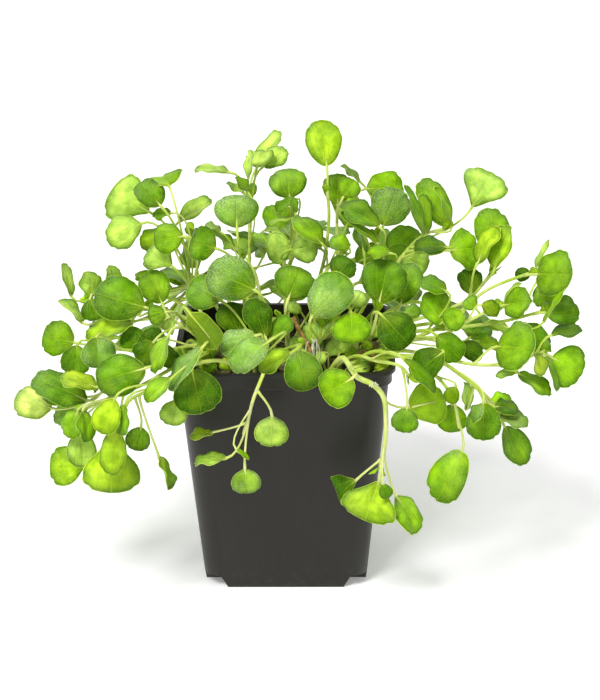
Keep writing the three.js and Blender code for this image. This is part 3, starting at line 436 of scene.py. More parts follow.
class StraightRuns:
    # straight stretches between the bends
    def __init__(self, bends):
        self.bends = np.array(bends)

    def at(self, shares):
        shares = np.atleast_1d(shares).astype(float)
        last = len(self.bends) - 1
        stretch = np.minimum(np.floor(shares * last).astype(int), last - 1)
        part = (shares * last - stretch)[:, None]
        return self.bends[stretch] * (1 - part) + self.bends[stretch + 1] * part

    def spaced(self, count):
        return self.at(np.arange(count + 1) / count)


class SmoothPath:
    # a smooth path with places spaced evenly along its length
    def even(self, shares):
        travelled = self.lengths()
        return self.at(np.interp(np.asarray(shares) * travelled[-1], travelled, np.linspace(0, 1, pathSamples)))

    def lengths(self):
        steps = np.diff(self.at(np.linspace(0, 1, pathSamples)), axis=0)
        return np.concatenate(([0], np.cumsum(np.linalg.norm(steps, axis=1))))

    def spaced(self, count):
        return self.even(np.arange(count + 1) / count)


class ThroughPoints(SmoothPath):
    # a path through all its points, which swings wide at none of them
    def __init__(self, points):
        points = [np.array(point, float) for point in points]
        self.points = [2 * points[0] - points[1], *points, 2 * points[-1] - points[-2]]

    def at(self, shares):
        spans = len(self.points) - 3
        found = []
        for share in np.atleast_1d(shares):
            span = min(int(share * spans), spans - 1)
            weight = share * spans - span
            before, start, end, after = self.points[span:span + 4]
            gap1 = np.sum((start - end) ** 2) ** 0.25
            gap0 = np.sum((before - start) ** 2) ** 0.25
            gap2 = np.sum((end - after) ** 2) ** 0.25
            leave = ((start - before) / gap0 - (end - before) / (gap0 + gap1) + (end - start) / gap1) * gap1
            arrive = ((end - start) / gap1 - (after - start) / (gap1 + gap2) + (after - end) / gap2) * gap1
            square = -3 * start + 3 * end - 2 * leave - arrive
            cube = 2 * start - 2 * end + leave + arrive
            found.append(start + weight * (leave + weight * (square + weight * cube)))
        return np.array(found)


class BowedPath(SmoothPath):
    # a path from start to end, which is drawn towards two points between them
    def __init__(self, start, leave, arrive, end):
        self.corners = (start, leave, arrive, end)
        self.end = end

    def at(self, shares):
        share = np.atleast_1d(shares)[:, None]
        rest = 1 - share
        start, leave, arrive, end = self.corners
        return rest**3 * start + 3 * rest**2 * share * leave + 3 * rest * share**2 * arrive + share**3 * end


def lengthOf(path):
    steps = np.diff(path.at(np.linspace(0, 1, pathSamples)), axis=0)
    return np.linalg.norm(steps, axis=1).sum()


def spotsAlong(path, gap):
    return path.spaced(max(2, math.ceil(lengthOf(path) / gap)))


# The place seen at a point of the picture, on the upright plane that stands near mm before the pot's middle
def onPicture(across, down, near):
    ray = (
        sight["forward"]
        + sight["right"] * (across - view["picture"][0] / 2) / view["focal"]
        + sight["up"] * (view["picture"][1] / 2 - down) / view["focal"]
    )
    return sight["eye"] + ray * ((-near - sight["eye"][1]) / ray[1])


# How stems and leaves are laid out, in mm: the rooms are the least gaps between them, and the shifts the
# ways tried along the line of sight where a leaf has too little
plant = {
    "stemRadius": 1.1,
    "stemFoot": 84.0,
    "stemUpright": 7,
    "stemStep": 17,
    "fewestSteps": 4,
    "stemSpots": 24,
    "soilTop": 86.5,
    "holeDepth": 3.5,
    "lift": 0.3,
    "leanShare": 0.3,
    "cup": 0.08,
    "arch": 0.1,
    "wave": 0.04,
    "petioleLead": 4,
    "petioleSlant": 0.6,
    "petioleBend": 0.33,
    "petioleRise": 0.06,
    "lowestPetiole": 7,
    "jointGap": 2.2,
    "bladeRoom": 3.4,
    "stemRoom": 2.6,
    "ownRoom": 1.9,
    "potRoom": 1.8,
    "spotGap": 3,
    "shifts": (0, 3, -3, 6, -6, 9, -9, 12, -12, 15, -15, 18, -18, 22, -22, 26, -26),
    "rootLimit": 35,
    "rootRoom": 5.2,
    "rootTries": 60,
    "spiralTurn": 2.4,
    "spiralStep": 1.3,
    "stemTurns": (0, 4, -4, 8, -8, 12, -12),
    "stemsApart": 3.38,
    "waveSeed": 5,
    "backSeed": 64,
    "looksSeed": 21,
}

# Shoots behind those that are seen: angles in degrees round the pot, the rest in mm
backTiers = (
    {"name": "low", "count": 7, "first": 16, "step": 24.7, "reach": 80, "shorter": 10, "rootReach": 32,
     "height": 97, "arch": 24, "climb": (-15, 20)},
    {"name": "high", "count": 5, "first": 27, "step": 31, "reach": 52, "shorter": 6, "rootReach": 18,
     "height": 118, "arch": 30, "climb": (5, 45)},
)

backLeaves = {
    "count": 5,
    "fan": 42,
    "swing": (-14, 14),
    "inward": (0, 14),
    "outward": (6, 13),
    "rise": (-6, 6),
    "tilt": (-0.3, 0.3),
    "length": (14, 20),
    "widthShare": (0.92, 1.06),
    "tones": ("mid", "dark", "bright", "mid", "pale", "veined", "blue"),
}


# foot and tip are picture points, near, width and lean in mm, turn is how far the upper face is turned from
# the viewer, in degrees
def leaf(foot, tip, near, width, turn, tone, lean=None, form="spoon"):
    return {"foot": foot, "tip": tip, "near": near, "width": width, "turn": turn, "tone": tone, "lean": lean,
            "form": form}


# root is where the stem stands in the compost, stem the picture points that it runs through
def shoot(name, root, stem, leaves):
    return {"name": name, "root": root, "stem": stem, "leaves": leaves}


seenShoots = [
    shoot("high_left", (-24, 6), [(208, 325, 0), (190, 281, -6), (190, 232, -10)], [
        leaf((150, 212), (110, 190), -8, 21, 0, "pale", form="apron"),
        leaf((161, 205), (140, 181), 2, 14, 25, "dark"),
        leaf((168, 184), (160, 170), -2, 17, 0, "mid", lean=-14),
        leaf((141, 223), (105, 238), -2, 15, 15, "pale"),
        leaf((178, 221), (209, 196), -26, 14, 58, "pale"),
        leaf((171, 212), (152, 214), 2, 8, 50, "bright"),
        leaf((172, 235), (139, 243), -14, 12, 25, "lime"),
        leaf((183, 236), (153, 240), -4, 13, 0, "bright"),
        leaf((172, 266), (149, 248), 8, 15, 0, "pale", form="apron"),
    ]),
    shoot("upper_left", (-14, 12), [(244, 300, 4), (243, 256, 10)], [
        leaf((216, 248), (190, 240), 16, 15, 0, "dark"),
        leaf((237, 228), (236, 194), 18, 18, 0, "veined"),
        leaf((221, 231), (206, 222), 4, 9, 70, "grey"),
    ]),
    shoot("back_left_tall", (-12, 24), [(250, 290, -20), (250, 230, -24), (252, 195, -26)], [
        leaf((230, 171), (195, 165), -20, 14, 76, "pale"),
        leaf((247, 179), (249, 149), -18, 8, 68, "pale"),
        leaf((257, 166), (262, 147), -26, 12, 20, "pale", lean=-9),
        leaf((263, 166), (286, 148), -30, 10, 20, "pale"),
        leaf((257, 165), (279, 130), -34, 12, 55, "pale"),
        leaf((249, 192), (238, 175), -20, 8, 60, "dark"),
        leaf((246, 193), (228, 180), -16, 8, 68, "pale"),
    ]),
    shoot("back_middle", (5, 28), [(290, 290, -16), (291, 246, -20), (292, 216, -24)], [
        leaf((290, 199), (286, 168), -22, 16, 0, "mid"),
        leaf((294, 198), (274, 208), -14, 9, 55, "dark"),
        leaf((296, 213), (294, 197), -16, 5, 50, "dark"),
        leaf((292, 217), (269, 221), -12, 6, 74, "pale"),
        leaf((291, 246), (266, 250), -6, 14, 0, "white"),
        leaf((291, 250), (318, 246), -8, 13, -30, "white"),
        leaf((265, 229), (282, 231), -30, 8, 65, "pale"),
    ]),
    shoot("tallest", (12, 4), [(317, 290, -4), (325, 255, -6), (329, 215, -8), (327, 190, -8)], [
        leaf((327, 166), (321, 119), -8, 15, 8, "lime"),
        leaf((323, 243), (295, 215), 0, 14, 52, "mid"),
        leaf((350, 247), (330, 239), -2, 9, 30, "mid"),
    ]),
    shoot("top_right_inner", (20, 20), [(338, 280, -14), (337, 240, -18), (337, 206, -20)], [
        leaf((338, 204), (337, 173), -18, 12.5, 0, "mid"),
        leaf((343, 197), (354, 179), -12, 10, 0, "mid"),
    ]),
    shoot("top_right", (23, 9), [(362, 310, 0), (378, 275, -6), (376, 236, -10)], [
        leaf((366, 188), (404, 186), -20, 15.5, 20, "mid"),
        leaf((383, 226), (397, 188), -4, 17, 0, "veined"),
        leaf((361, 181), (343, 163), -24, 9, 74, "grey"),
        leaf((380, 226), (341, 202), -4, 15, 50, "dark"),
        leaf((378, 243), (341, 210), 8, 9, 62, "mid"),
        leaf((390, 252), (368, 250), 4, 10, 55, "mid"),
    ]),
    shoot("top_right_outer", (29, 16), [(382, 300, -4), (397, 264, -8), (422, 236, -12), (446, 228, -14)], [
        leaf((425, 236), (408, 183), -2, 9, 66, "dark"),
        leaf((427, 235), (426, 193), -9, 10, 58, "mid"),
        leaf((448, 226), (423, 178), -18, 14, 30, "mid"),
        leaf((453, 227), (438, 185), -12, 8, 74, "mid"),
        leaf((448, 246), (414, 243), 8, 13, 50, "deep"),
        leaf((404, 256), (428, 268), -14, 12, 0, "white"),
        leaf((472, 207), (492, 171), -30, 20, 0, "white", form="apron"),
        leaf((451, 250), (480, 246), -2, 18, 0, "mid", lean=-4, form="square"),
    ]),
    shoot("right_high", (32, 3), [(400, 325, 6), (440, 312, 6), (470, 298, 4), (492, 272, 2)], [
        leaf((497, 262), (490, 207), 0, 16, 20, "mid"),
        leaf((476, 263), (493, 224), 10, 14, 58, "lime"),
        leaf((494, 268), (505, 224), 12, 13, 45, "lime"),
        leaf((470, 294), (470, 268), 12, 11, 20, "deep"),
    ]),
    shoot("far_right", (35, -6), [(394, 331, 12), (450, 318, 16), (487, 290, 14), (532, 272, 10)], [
        leaf((534, 268), (547, 238), 10, 7, 74, "pale"),
        leaf((537, 274), (570, 273), 12, 20, 0, "mid", lean=12),
        leaf((531, 273), (515, 275), 8, 6, 0, "deep"),
    ]),
    shoot("far_right_low", (35, -14), [(396, 336, 19), (455, 328, 24), (505, 321, 22), (543, 311, 18)], [
        leaf((545, 312), (580, 312), 20, 14, 15, "dark"),
        leaf((542, 322), (565, 286), 28, 6, 78, "mid"),
        leaf((541, 283), (551, 306), 14, 12, 0, "mid"),
    ]),
    shoot("right_middle", (31, -20), [(398, 343, 27), (440, 336, 32), (470, 320, 30), (498, 306, 26)], [
        leaf((503, 305), (528, 300), 26, 13, 0, "mid", lean=9),
        leaf((503, 306), (519, 281), 20, 8, 72, "pale"),
        leaf((482, 304), (500, 312), 30, 8, 25, "olive"),
        leaf((476, 308), (466, 298), 24, 8, 25, "bright"),
    ]),
    shoot("right", (35, -25), [(398, 351, 35), (440, 358, 40), (480, 365, 40), (515, 362, 38), (545, 350, 32)], [
        leaf((496, 346), (531, 347), 42, 20.5, 0, "mid", lean=12),
        leaf((527, 323), (549, 352), 34, 11, 30, "dark"),
        leaf((551, 334), (582, 327), 28, 12, 62, "deep"),
        leaf((552, 357), (583, 374), 30, 18, 0, "bright"),
        leaf((547, 355), (560, 391), 38, 9, 74, "dark"),
        leaf((536, 353), (544, 376), 40, 10, 58, "yellow"),
        leaf((519, 372), (554, 391), 44, 11, 52, "mid"),
        leaf((518, 371), (495, 375), 42, 8, 66, "pale"),
    ]),
    shoot("lower_right", (28, -27), [
        (392, 356, 42), (440, 362, 48), (462, 376, 48), (488, 398, 46), (500, 412, 44),
    ], [
        leaf((490, 402), (511, 396), 42, 9, 45, "bright"),
        leaf((494, 405), (519, 406), 48, 12, 55, "deep"),
        leaf((484, 403), (483, 441), 56, 14, 0, "dark"),
        leaf((482, 402), (470, 421), 58, 10, 66, "veined"),
        leaf((499, 417), (529, 419), 50, 14, 52, "grey"),
        leaf((505, 426), (527, 464), 50, 12, 20, "dark"),
        leaf((467, 410), (468, 382), 52, 9, 66, "white"),
        leaf((443, 351), (411, 376), 54, 14, 20, "deep"),
    ]),
    shoot("lower_right_low", (24, -33), [
        (372, 352, 40), (405, 358, 48), (440, 380, 55), (454, 402, 57), (459, 428, 58),
    ], [
        leaf((452, 404), (452, 433), 50, 12, 0, "mid"),
        leaf((462, 451), (436, 501), 58, 16, 15, "mid", form="square"),
        leaf((456, 387), (448, 403), 50, 7, 20, "olive"),
    ]),
    shoot("lower_right_inner", (21, -26), [(356, 356, 38), (377, 361, 47), (400, 366, 51), (410, 377, 53)], [
        leaf((404, 358), (438, 391), 54, 9.5, 56, "dark"),
        leaf((407, 408), (403, 433), 56, 11, 0, "dark"),
    ]),
    shoot("mid_right", (21, -7), [(352, 356, 22), (370, 338, 22), (378, 310, 20)], [
        leaf((379, 303), (389, 259), 22, 19, 0, "dark"),
        leaf((400, 304), (412, 262), 10, 13, 20, "mid"),
        leaf((382, 315), (410, 345), 28, 16, 0, "deep"),
    ]),
    shoot("mid_right_low", (27, -14), [(386, 344, 22), (430, 332, 26), (447, 318, 24)], [
        leaf((447, 328), (428, 291), 30, 14, 25, "bright", form="square"),
        leaf((463, 312), (445, 325), 36, 10, 0, "bright"),
        leaf((447, 290), (422, 278), 20, 11, 45, "dark"),
        leaf((470, 337), (484, 319), 34, 13, 0, "dark", lean=-8),
        leaf((461, 343), (483, 357), 38, 9, 20, "deep"),
        leaf((437, 335), (462, 359), 40, 12, 20, "dark"),
        leaf((478, 345), (498, 340), 36, 8, 40, "olive"),
        leaf((404, 312), (421, 309), 24, 7, 30, "dark"),
    ]),
    shoot("centre", (4, -4), [(290, 345, 22), (283, 318, 26)], [
        leaf((288, 299), (300, 267), 30, 17, 0, "dark"),
        leaf((335, 277), (350, 258), 6, 13, 20, "deep"),
    ]),
    shoot("centre_right", (10, -14), [(318, 345, 28), (322, 325, 31)], [
        leaf((312, 316), (347, 276), 36, 17, 0, "blue"),
        leaf((352, 308), (362, 291), 24, 8, 0, "white"),
        leaf((351, 312), (352, 344), 38, 15.5, 0, "bright"),
    ]),
    shoot("centre_front", (5, -29), [(300, 353, 40), (300, 344, 46)], [
        leaf((298, 350), (307, 391), 52, 15, 0, "dark"),
    ]),
    shoot("centre_left", (-8, -6), [(262, 345, 20), (256, 318, 24)], [
        leaf((255, 290), (208, 268), 32, 19, 0, "veined"),
        leaf((266, 337), (251, 298), 30, 12, 20, "deep"),
        leaf((270, 338), (290, 317), 36, 10, 30, "dark"),
    ]),
    shoot("centre_left_low", (-12, -21), [(258, 350, 36), (250, 340, 40)], [
        leaf((220, 300), (188, 285), 34, 15, 0, "veined"),
        leaf((240, 333), (225, 303), 30, 13, 15, "deep"),
        leaf((255, 335), (220, 350), 36, 12, 20, "blue"),
        leaf((268, 341), (229, 366), 52, 13, 20, "blue"),
        leaf((290, 352), (258, 369), 48, 11, 45, "lime"),
    ]),
    shoot("left_front", (-29, -15), [(205, 353, 40), (186, 357, 47)], [
        leaf((192, 370), (202, 414), 58, 19, 0, "deep"),
        leaf((201, 347), (165, 387), 52, 15, 64, "blue"),
        leaf((170, 378), (143, 399), 48, 11, 48, "bright"),
        leaf((160, 345), (175, 365), 42, 10, 35, "deep"),
        leaf((167, 335), (150, 372), 40, 13, 62, "bright"),
        leaf((175, 400), (172, 426), 48, 11, 0, "pale"),
        leaf((190, 312), (218, 345), 42, 12, 160, "deep"),
    ]),
    shoot("left_middle", (-31, -3), [(205, 335, 14), (175, 322, 16), (150, 309, 16)], [
        leaf((145, 307), (94, 292), 26, 19, 0, "dark"),
        leaf((162, 303), (148, 271), 12, 13, 0, "mid"),
        leaf((165, 312), (148, 318), 26, 9, 0, "dark"),
        leaf((172, 318), (167, 334), 26, 8, 50, "white"),
        leaf((132, 321), (84, 334), 26, 14, 48, "lime"),
        leaf((153, 342), (138, 362), 36, 11, 20, "deep"),
    ]),
    shoot("left_tip", (-35, 7), [(205, 330, 0), (160, 308, 2), (110, 300, 2), (90, 300, 4)], [
        leaf((72, 296), (65, 262), 6, 8, 60, "pale"),
        leaf((92, 298), (92, 271), 0, 12, 42, "pale"),
        leaf((90, 299), (97, 320), 14, 11, 0, "dark"),
        leaf((83, 322), (62, 297), 12, 13, 72, "pale"),
        leaf((114, 285), (114, 265), -4, 10, 55, "pale"),
    ]),
    shoot("left_lower", (-36, -9), [(200, 345, 26), (165, 350, 32), (125, 350, 34), (98, 347, 34)], [
        leaf((74, 342), (42, 335), 30, 15, 0, "mid"),
        leaf((77, 345), (74, 376), 36, 12, 0, "dark"),
        leaf((97, 337), (100, 368), 44, 15, 20, "blue"),
        leaf((88, 352), (70, 364), 28, 9, 0, "deep"),
        leaf((146, 345), (121, 335), 40, 11, 0, "dark"),
        leaf((165, 350), (140, 335), 46, 13, 0, "deep"),
    ]),
    shoot("left_low_outer", (-35, -21), [(195, 355, 38), (150, 365, 46), (115, 380, 48), (98, 387, 46)], [
        leaf((145, 368), (95, 381), 54, 17, 0, "dark"),
        leaf((88, 400), (33, 375), 44, 16, 25, "dark"),
        leaf((84, 396), (42, 390), 34, 14, 45, "grey"),
        leaf((52, 408), (14, 398), 38, 14, 0, "light"),
        leaf((97, 386), (62, 373), 52, 12, 48, "yellow"),
    ]),
    shoot("left_hanging", (-27, -29), [(190, 361, 48), (140, 386, 54), (100, 402, 54), (84, 410, 52)], [
        leaf((77, 410), (65, 437), 46, 12, 40, "mid"),
        leaf((84, 410), (90, 442), 56, 12, 58, "bright"),
        leaf((80, 431), (83, 468), 48, 12, 0, "pale"),
        leaf((84, 466), (49, 466), 40, 17, 0, "lime"),
        leaf((75, 409), (52, 418), 42, 10, 30, "blue"),
    ]),
    shoot("left_hanging_inner", (-19, -34), [
        (222, 361, 45), (190, 366, 54), (150, 390, 60), (130, 400, 62), (120, 422, 62),
    ], [
        leaf((112, 437), (111, 494), 62, 23, 0, "lime", form="apron"),
        leaf((117, 427), (110, 476), 68, 11, 20, "lime"),
        leaf((124, 404), (119, 436), 66, 12, 62, "mid"),
        leaf((141, 427), (135, 451), 58, 10, 0, "dark"),
        leaf((160, 456), (174, 488), 60, 12, 74, "grey"),
        leaf((114, 399), (100, 434), 56, 12, 20, "lime"),
    ]),
    shoot("front_hanging", (-9, -35), [
        (268, 360, 43), (264, 372, 50), (253, 400, 53), (248, 420, 53), (243, 434, 53),
    ], [
        leaf((213, 431), (189, 433), 54, 9, 60, "yellow"),
        leaf((272, 416), (271, 447), 56, 13.5, 0, "pale"),
        leaf((226, 457), (194, 460), 55, 11, 62, "pale"),
        leaf((237, 449), (250, 458), 57, 5, 70, "bright"),
        leaf((245, 469), (247, 494), 56, 12, 0, "grey"),
    ]),
    shoot("right_hanging", (18, -35), [
        (343, 358, 43), (357, 377, 51), (372, 384, 53), (383, 396, 54), (386, 421, 54), (384, 450, 54),
        (380, 468, 54),
    ], [
        leaf((352, 378), (322, 396), 58, 16.5, 0, "mid", form="square"),
        leaf((410, 407), (446, 398), 54, 18, 180, "mid", form="square"),
        leaf((355, 480), (336, 496), 54, 15, 20, "deep", lean=-2, form="apron"),
        leaf((379, 481), (364, 521), 58, 23, 0, "lime", form="apron"),
        leaf((397, 495), (420, 532), 56, 13, 38, "bright"),
        leaf((384, 484), (388, 499), 60, 6, 20, "dark"),
    ]),
]


def stemPath(root, places):
    # a stem rises upright from the compost before it bends away
    upright = [(*root, plant["stemFoot"]), (*root, plant["soilTop"] + plant["stemUpright"] / 3),
               (*root, plant["soilTop"] + plant["stemUpright"])]
    smooth = ThroughPoints([*upright, *places])
    steps = max(plant["fewestSteps"], math.ceil(smooth.lengths()[-1] / plant["stemStep"]))
    return smooth, StraightRuns(smooth.spaced(steps))


def placeBlade(row, shift):
    # foot and directions of a blade: along it, across it and out of its upper face
    near = row["near"] + shift
    foot = onPicture(*row["foot"], near)
    rise = onPicture(*row["tip"], near)[2] - foot[2]
    lean = row["lean"]
    if lean is None:
        lean = -plant["leanShare"] * rise * (-1 if abs(row["turn"]) > 90 else 1)
    axis = onPicture(*row["tip"], near + lean) - foot
    length = np.linalg.norm(axis)
    axis = axis / length
    toEye = unit(sight["eye"] - foot)
    side = unit(np.cross(axis, toEye))
    if side[2] < -0.05:
        side = -side
    angle = math.radians(row["turn"])
    upper = toEye * math.cos(angle) + side * math.sin(angle) + zAxis * plant["lift"]
    upper = unit(upper - axis * np.dot(upper, axis))
    return {"foot": foot, "axis": axis, "across": np.cross(upper, axis), "upper": upper, "length": length,
            "width": row["width"], "tone": row["tone"], "form": row["form"]}


def onBlade(blade, along, aside):
    # the blade is cupped across and arched along, with a slow wave of its own
    along = np.atleast_1d(along)[:, None]
    aside = np.atleast_1d(aside)[:, None]
    u = along / blade["length"]
    v = aside / (blade["width"] / 2)
    wave = plant["wave"] * np.sin(3 * math.pi * u + blade["wave"]) * v
    height = blade["width"] * (plant["cup"] * v * v - plant["arch"] * u * u + wave)
    return blade["foot"] + blade["axis"] * along + blade["across"] * aside + blade["upper"] * height


def petiolePath(blade, stem, joints):
    # a petiole leaves its stem below the place nearest to its blade, clear of the joints already there
    last = plant["stemSpots"]
    spots = stem.at(np.arange(last + 1) / last)
    stemLength = lengthOf(stem)
    wanted = blade["foot"] - blade["axis"] * plant["petioleLead"]
    gaps = np.linalg.norm(spots - wanted, axis=1)
    nearest = last
    for i, gap in enumerate(gaps):
        if gap < gaps[nearest]:
            nearest = i
    slant = plant["petioleSlant"] * gaps[nearest] / stemLength
    lowest = (plant["holeDepth"] + plant["lowestPetiole"]) / stemLength
    share = min(max(nearest / last - slant, lowest), 1 - plant["stemRadius"] / stemLength)
    while share > lowest and any(np.linalg.norm(stem.at(share)[0] - other) < plant["jointGap"] for other in joints):
        share -= plant["jointGap"] / 2 / stemLength
    joint = stem.at(max(share, lowest))[0]
    reach = np.linalg.norm(joint - blade["foot"])
    ahead = unit(stem.at(min(share + 1e-4, 1))[0] - stem.at(max(share - 1e-4, 0))[0])
    leave = blade["foot"] - blade["axis"] * plant["petioleBend"] * reach
    return BowedPath(blade["foot"], leave, joint + ahead * plant["petioleRise"] * reach, joint)


def bladeSpots(blade):
    # places all over a blade: its middle and two rings
    along = [blade["length"] / 2]
    aside = [0]
    for share, count in ((0.5, 6), (0.95, 12)):
        for i in range(count):
            angle = i * 2 * math.pi / count
            along.append(blade["length"] * (0.5 + 0.5 * share * math.cos(angle)))
            aside.append(0.5 * blade["width"] * share * math.sin(angle))
    return onBlade(blade, along, aside)


def touchesPot(spots):
    reach = np.abs(spots[:, :2]).max(axis=1)
    over = spots[:, 2] > potSize["height"] + plant["potRoom"]
    beside = reach > potSize["lip"] / 2 + plant["potRoom"]
    overSoil = (reach < potSize["band"] / 2 - potSize["wall"] - plant["potRoom"]) & (
        spots[:, 2] > plant["soilTop"] + plant["potRoom"])
    return bool((~over & ~beside & ~overSoil).any())


def freedom(spots, taken, number, isBlade):
    # how free a set of spots is of what is already there: 1 or more is clear
    places, owners, blades = taken
    need = np.where(blades & isBlade, plant["bladeRoom"], plant["stemRoom"])
    need = np.where(owners == number, np.where(blades | isBlade, plant["ownRoom"], 0), need)
    held = need > 0
    least = 0 if touchesPot(spots) else math.inf
    if held.any():
        gaps = np.linalg.norm(places[held][None] - spots[:, None], axis=2) / need[held]
        least = min(least, gaps.min())
    return least


def clearLeaf(bladeAt, stem, number, taken, joints):
    # a leaf that would cross another is moved along the line of sight, as little as will do
    best = None
    for shift in plant["shifts"]:
        blade = bladeAt(shift)
        path = petiolePath(blade, stem, joints)
        wide = bladeSpots(blade)
        thin = spotsAlong(path, plant["spotGap"])
        free = min(freedom(wide, taken, number, True), freedom(thin, taken, number, False))
        if best is None or free > best[0]:
            best = (free, blade, path, wide, thin)
        if free >= 1:
            break
    joints.append(best[2].end)
    keepSpots(taken, best[3], number, True)
    keepSpots(taken, best[4], number, False)
    return best[1], best[2]


def keepSpots(taken, spots, number, isBlade):
    for i, more in enumerate((spots, np.full(len(spots), number), np.full(len(spots), isBlade))):
        taken[i] = np.concatenate((taken[i], more))


def freeRoot(heading, reach, usedRoots):
    # tries places on a spiral round the one wanted
    limit = plant["rootLimit"]
    for i in range(plant["rootTries"]):
        angle = i * plant["spiralTurn"]
        away = plant["spiralStep"] * math.sqrt(i)
        x = min(max(reach * math.cos(heading) + away * math.cos(angle), -limit), limit)
        y = min(max(reach * math.sin(heading) + away * math.sin(angle), -limit), limit)
        if all(math.hypot(x - other[0], y - other[1]) > plant["rootRoom"] for other in usedRoots):
            return (x, y)
    raise ValueError("no free place for a stem")


def clearStem(root, heading, tier, reach, height, stems):
    # a back stem that comes too near another is turned a little about the pot
    best = None
    for turn in plant["stemTurns"]:
        turned = heading + math.radians(turn)
        outward = np.array((math.cos(turned), math.sin(turned), 0))
        crown = outward * reach + zAxis * height
        middle = np.array((*root, 0)) * 0.55 + crown * 0.45
        middle[2] = plant["soilTop"] + tier["arch"]
        smooth, bent = stemPath(root, [middle, crown])
        spots = spotsAlong(bent, plant["spotGap"])
        free = min(np.linalg.norm(stem[None] - spots[:, None], axis=2).min() for stem in stems)
        if best is None or free > best["free"]:
            best = {"free": free, "smooth": smooth, "bent": bent, "spots": spots, "outward": outward,
                    "crown": crown, "heading": turned}
        if free > plant["stemsApart"]:
            break
    stems.append(best["spots"])
    return best


def backLeaf(draw, stem, tier, index):
    fan = backLeaves["fan"] * (index - backLeaves["count"] // 2)
    around = stem["heading"] + math.radians(fan + draw(*backLeaves["swing"]))
    climb = math.radians(draw(*tier["climb"]))
    axis = np.array((math.cos(around) * math.cos(climb), math.sin(around) * math.cos(climb), math.sin(climb)))
    foot = stem["crown"] - stem["outward"] * draw(*backLeaves["inward"])
    foot = foot + axis * draw(*backLeaves["outward"])
    foot = foot + zAxis * draw(*backLeaves["rise"])
    tilt = [draw(*backLeaves["tilt"]), draw(*backLeaves["tilt"])]
    upper = np.array((*tilt, 0.9)) + stem["outward"] * 0.5
    upper = unit(upper - axis * np.dot(upper, axis))
    length = draw(*backLeaves["length"])
    width = length * draw(*backLeaves["widthShare"])
    wave = draw(0, 2 * math.pi)
    return {"foot": foot, "axis": axis, "across": np.cross(upper, axis), "upper": upper, "length": length,
            "width": width, "wave": wave, "form": "spoon"}


def backShoots(usedRoots, stems):
    draw = seededDraw(plant["backSeed"])
    found = []
    for tier in backTiers:
        for i in range(tier["count"]):
            wanted = math.radians(tier["first"] + i * tier["step"] + draw(-4, 4))
            reach = tier["reach"] - tier["shorter"] * math.sin(wanted) + draw(-4, 4)
            root = freeRoot(wanted, tier["rootReach"], usedRoots)
            usedRoots.append(root)
            height = tier["height"] + draw(-5, 5)
            stem = clearStem(root, wanted, tier, reach, height, stems)
            leaves = [backLeaf(draw, stem, tier, k) for k in range(backLeaves["count"])]
            found.append((f"back_{tier['name']}_{i + 1}", stem["smooth"], stem["bent"], leaves))
    return found


def layOutShoots():
    # each shoot's stem, and its blades with their petioles, each clear of the others
    draw = seededDraw(plant["waveSeed"])
    toneDraw = seededDraw(plant["looksSeed"])
    usedRoots = [row["root"] for row in seenShoots]
    shoots = []
    for row in seenShoots:
        smooth, bent = stemPath(row["root"], [onPicture(*place) for place in row["stem"]])
        bladesAt = []
        for one in row["leaves"]:
            wave = draw(0, 2 * math.pi)
            bladesAt.append(lambda shift, one=one, wave=wave: {**placeBlade(one, shift), "wave": wave})
        shoots.append((row["name"], smooth, bent, bladesAt))
    stems = [spotsAlong(bent, plant["spotGap"]) for name, smooth, bent, bladesAt in shoots]
    for name, smooth, bent, leaves in backShoots(usedRoots, stems):
        bladesAt = []
        for blade in leaves:
            blade["tone"] = backLeaves["tones"][int(toneDraw(0, 6.99))]
            bladesAt.append(lambda shift, blade=blade: {**blade, "foot": blade["foot"] - sight["forward"] * shift})
        shoots.append((name, smooth, bent, bladesAt))
    taken = [np.zeros((0, 3)), np.zeros(0, int), np.zeros(0, bool)]
    for number, (name, smooth, bent, bladesAt) in enumerate(shoots):
        keepSpots(taken, spotsAlong(bent, plant["spotGap"]), number, False)
    grown = []
    for number, (name, smooth, bent, bladesAt) in enumerate(shoots):
        joints = []
        leaves = [clearLeaf(bladeAt, bent, number, taken, joints) for bladeAt in bladesAt]
        grown.append({"name": name, "stem": smooth, "leaves": leaves})
    return grown


# How a blade looks: rings are shares of the way from its heart to its margin, heights in mm
bladeLook = {
    "points": 36,
    "rings": (0.95, 0.76, 0.5, 0.24),
    "fullness": 0.16,
    "join": 45,
    "apronFullness": 0.55,
    "apronJoin": 84,
    "apronWidth": 0.9,
    "foot": 0.8,
    "top": -0.12,
    "under": -0.5,
    "thinning": 0.55,
    "ruffle": 0.85,
    "rollDown": 0.06,
    "notches": (140, -140, 110, -110, 170, -170, 80, -80),
    "deepNotch": 140,
    "notchDepth": 0.085,
    "midribShare": 0.72,
    # lightFrom is where the painted light and painted sheen on each blade come from, and glint sets how strong its
    # painted glints are
    "lightFrom": (-0.3, -0.4, 0.86),
    "toneSpread": (0.985, 1.145),
    "footColour": (196, 212, 84),
    "footShare": 0.45,
    "glint": 0.55,
}

# Each leaf's colour as the picture's 0-255 values, and how much painted whitish sheen it has. The colours hold
# painted light and shade: darker tones stand for leaves in shade, paler ones for lit leaves
tones = {
    "mid": ((144, 192, 20), 0.14),
    "dark": ((104, 156, 4), 0.12),
    "deep": ((60, 110, 0), 0.03),
    "bright": ((152, 203, 24), 0.1),
    "lime": ((188, 222, 50), 0.1),
    "pale": ((208, 238, 122), 0.2),
    "white": ((218, 248, 136), 0.24),
    "yellow": ((196, 220, 60), 0.1),
    "grey": ((140, 178, 58), 0.5),
    "olive": ((120, 154, 12), 0.05),
    "blue": ((132, 180, 66), 0.9),
    "veined": ((108, 158, 12), 0.55),
    "light": ((250, 255, 168), 0.25),
    "old": ((92, 96, 34), 0.0),
    "brown": ((96, 80, 36), 0.0),
}


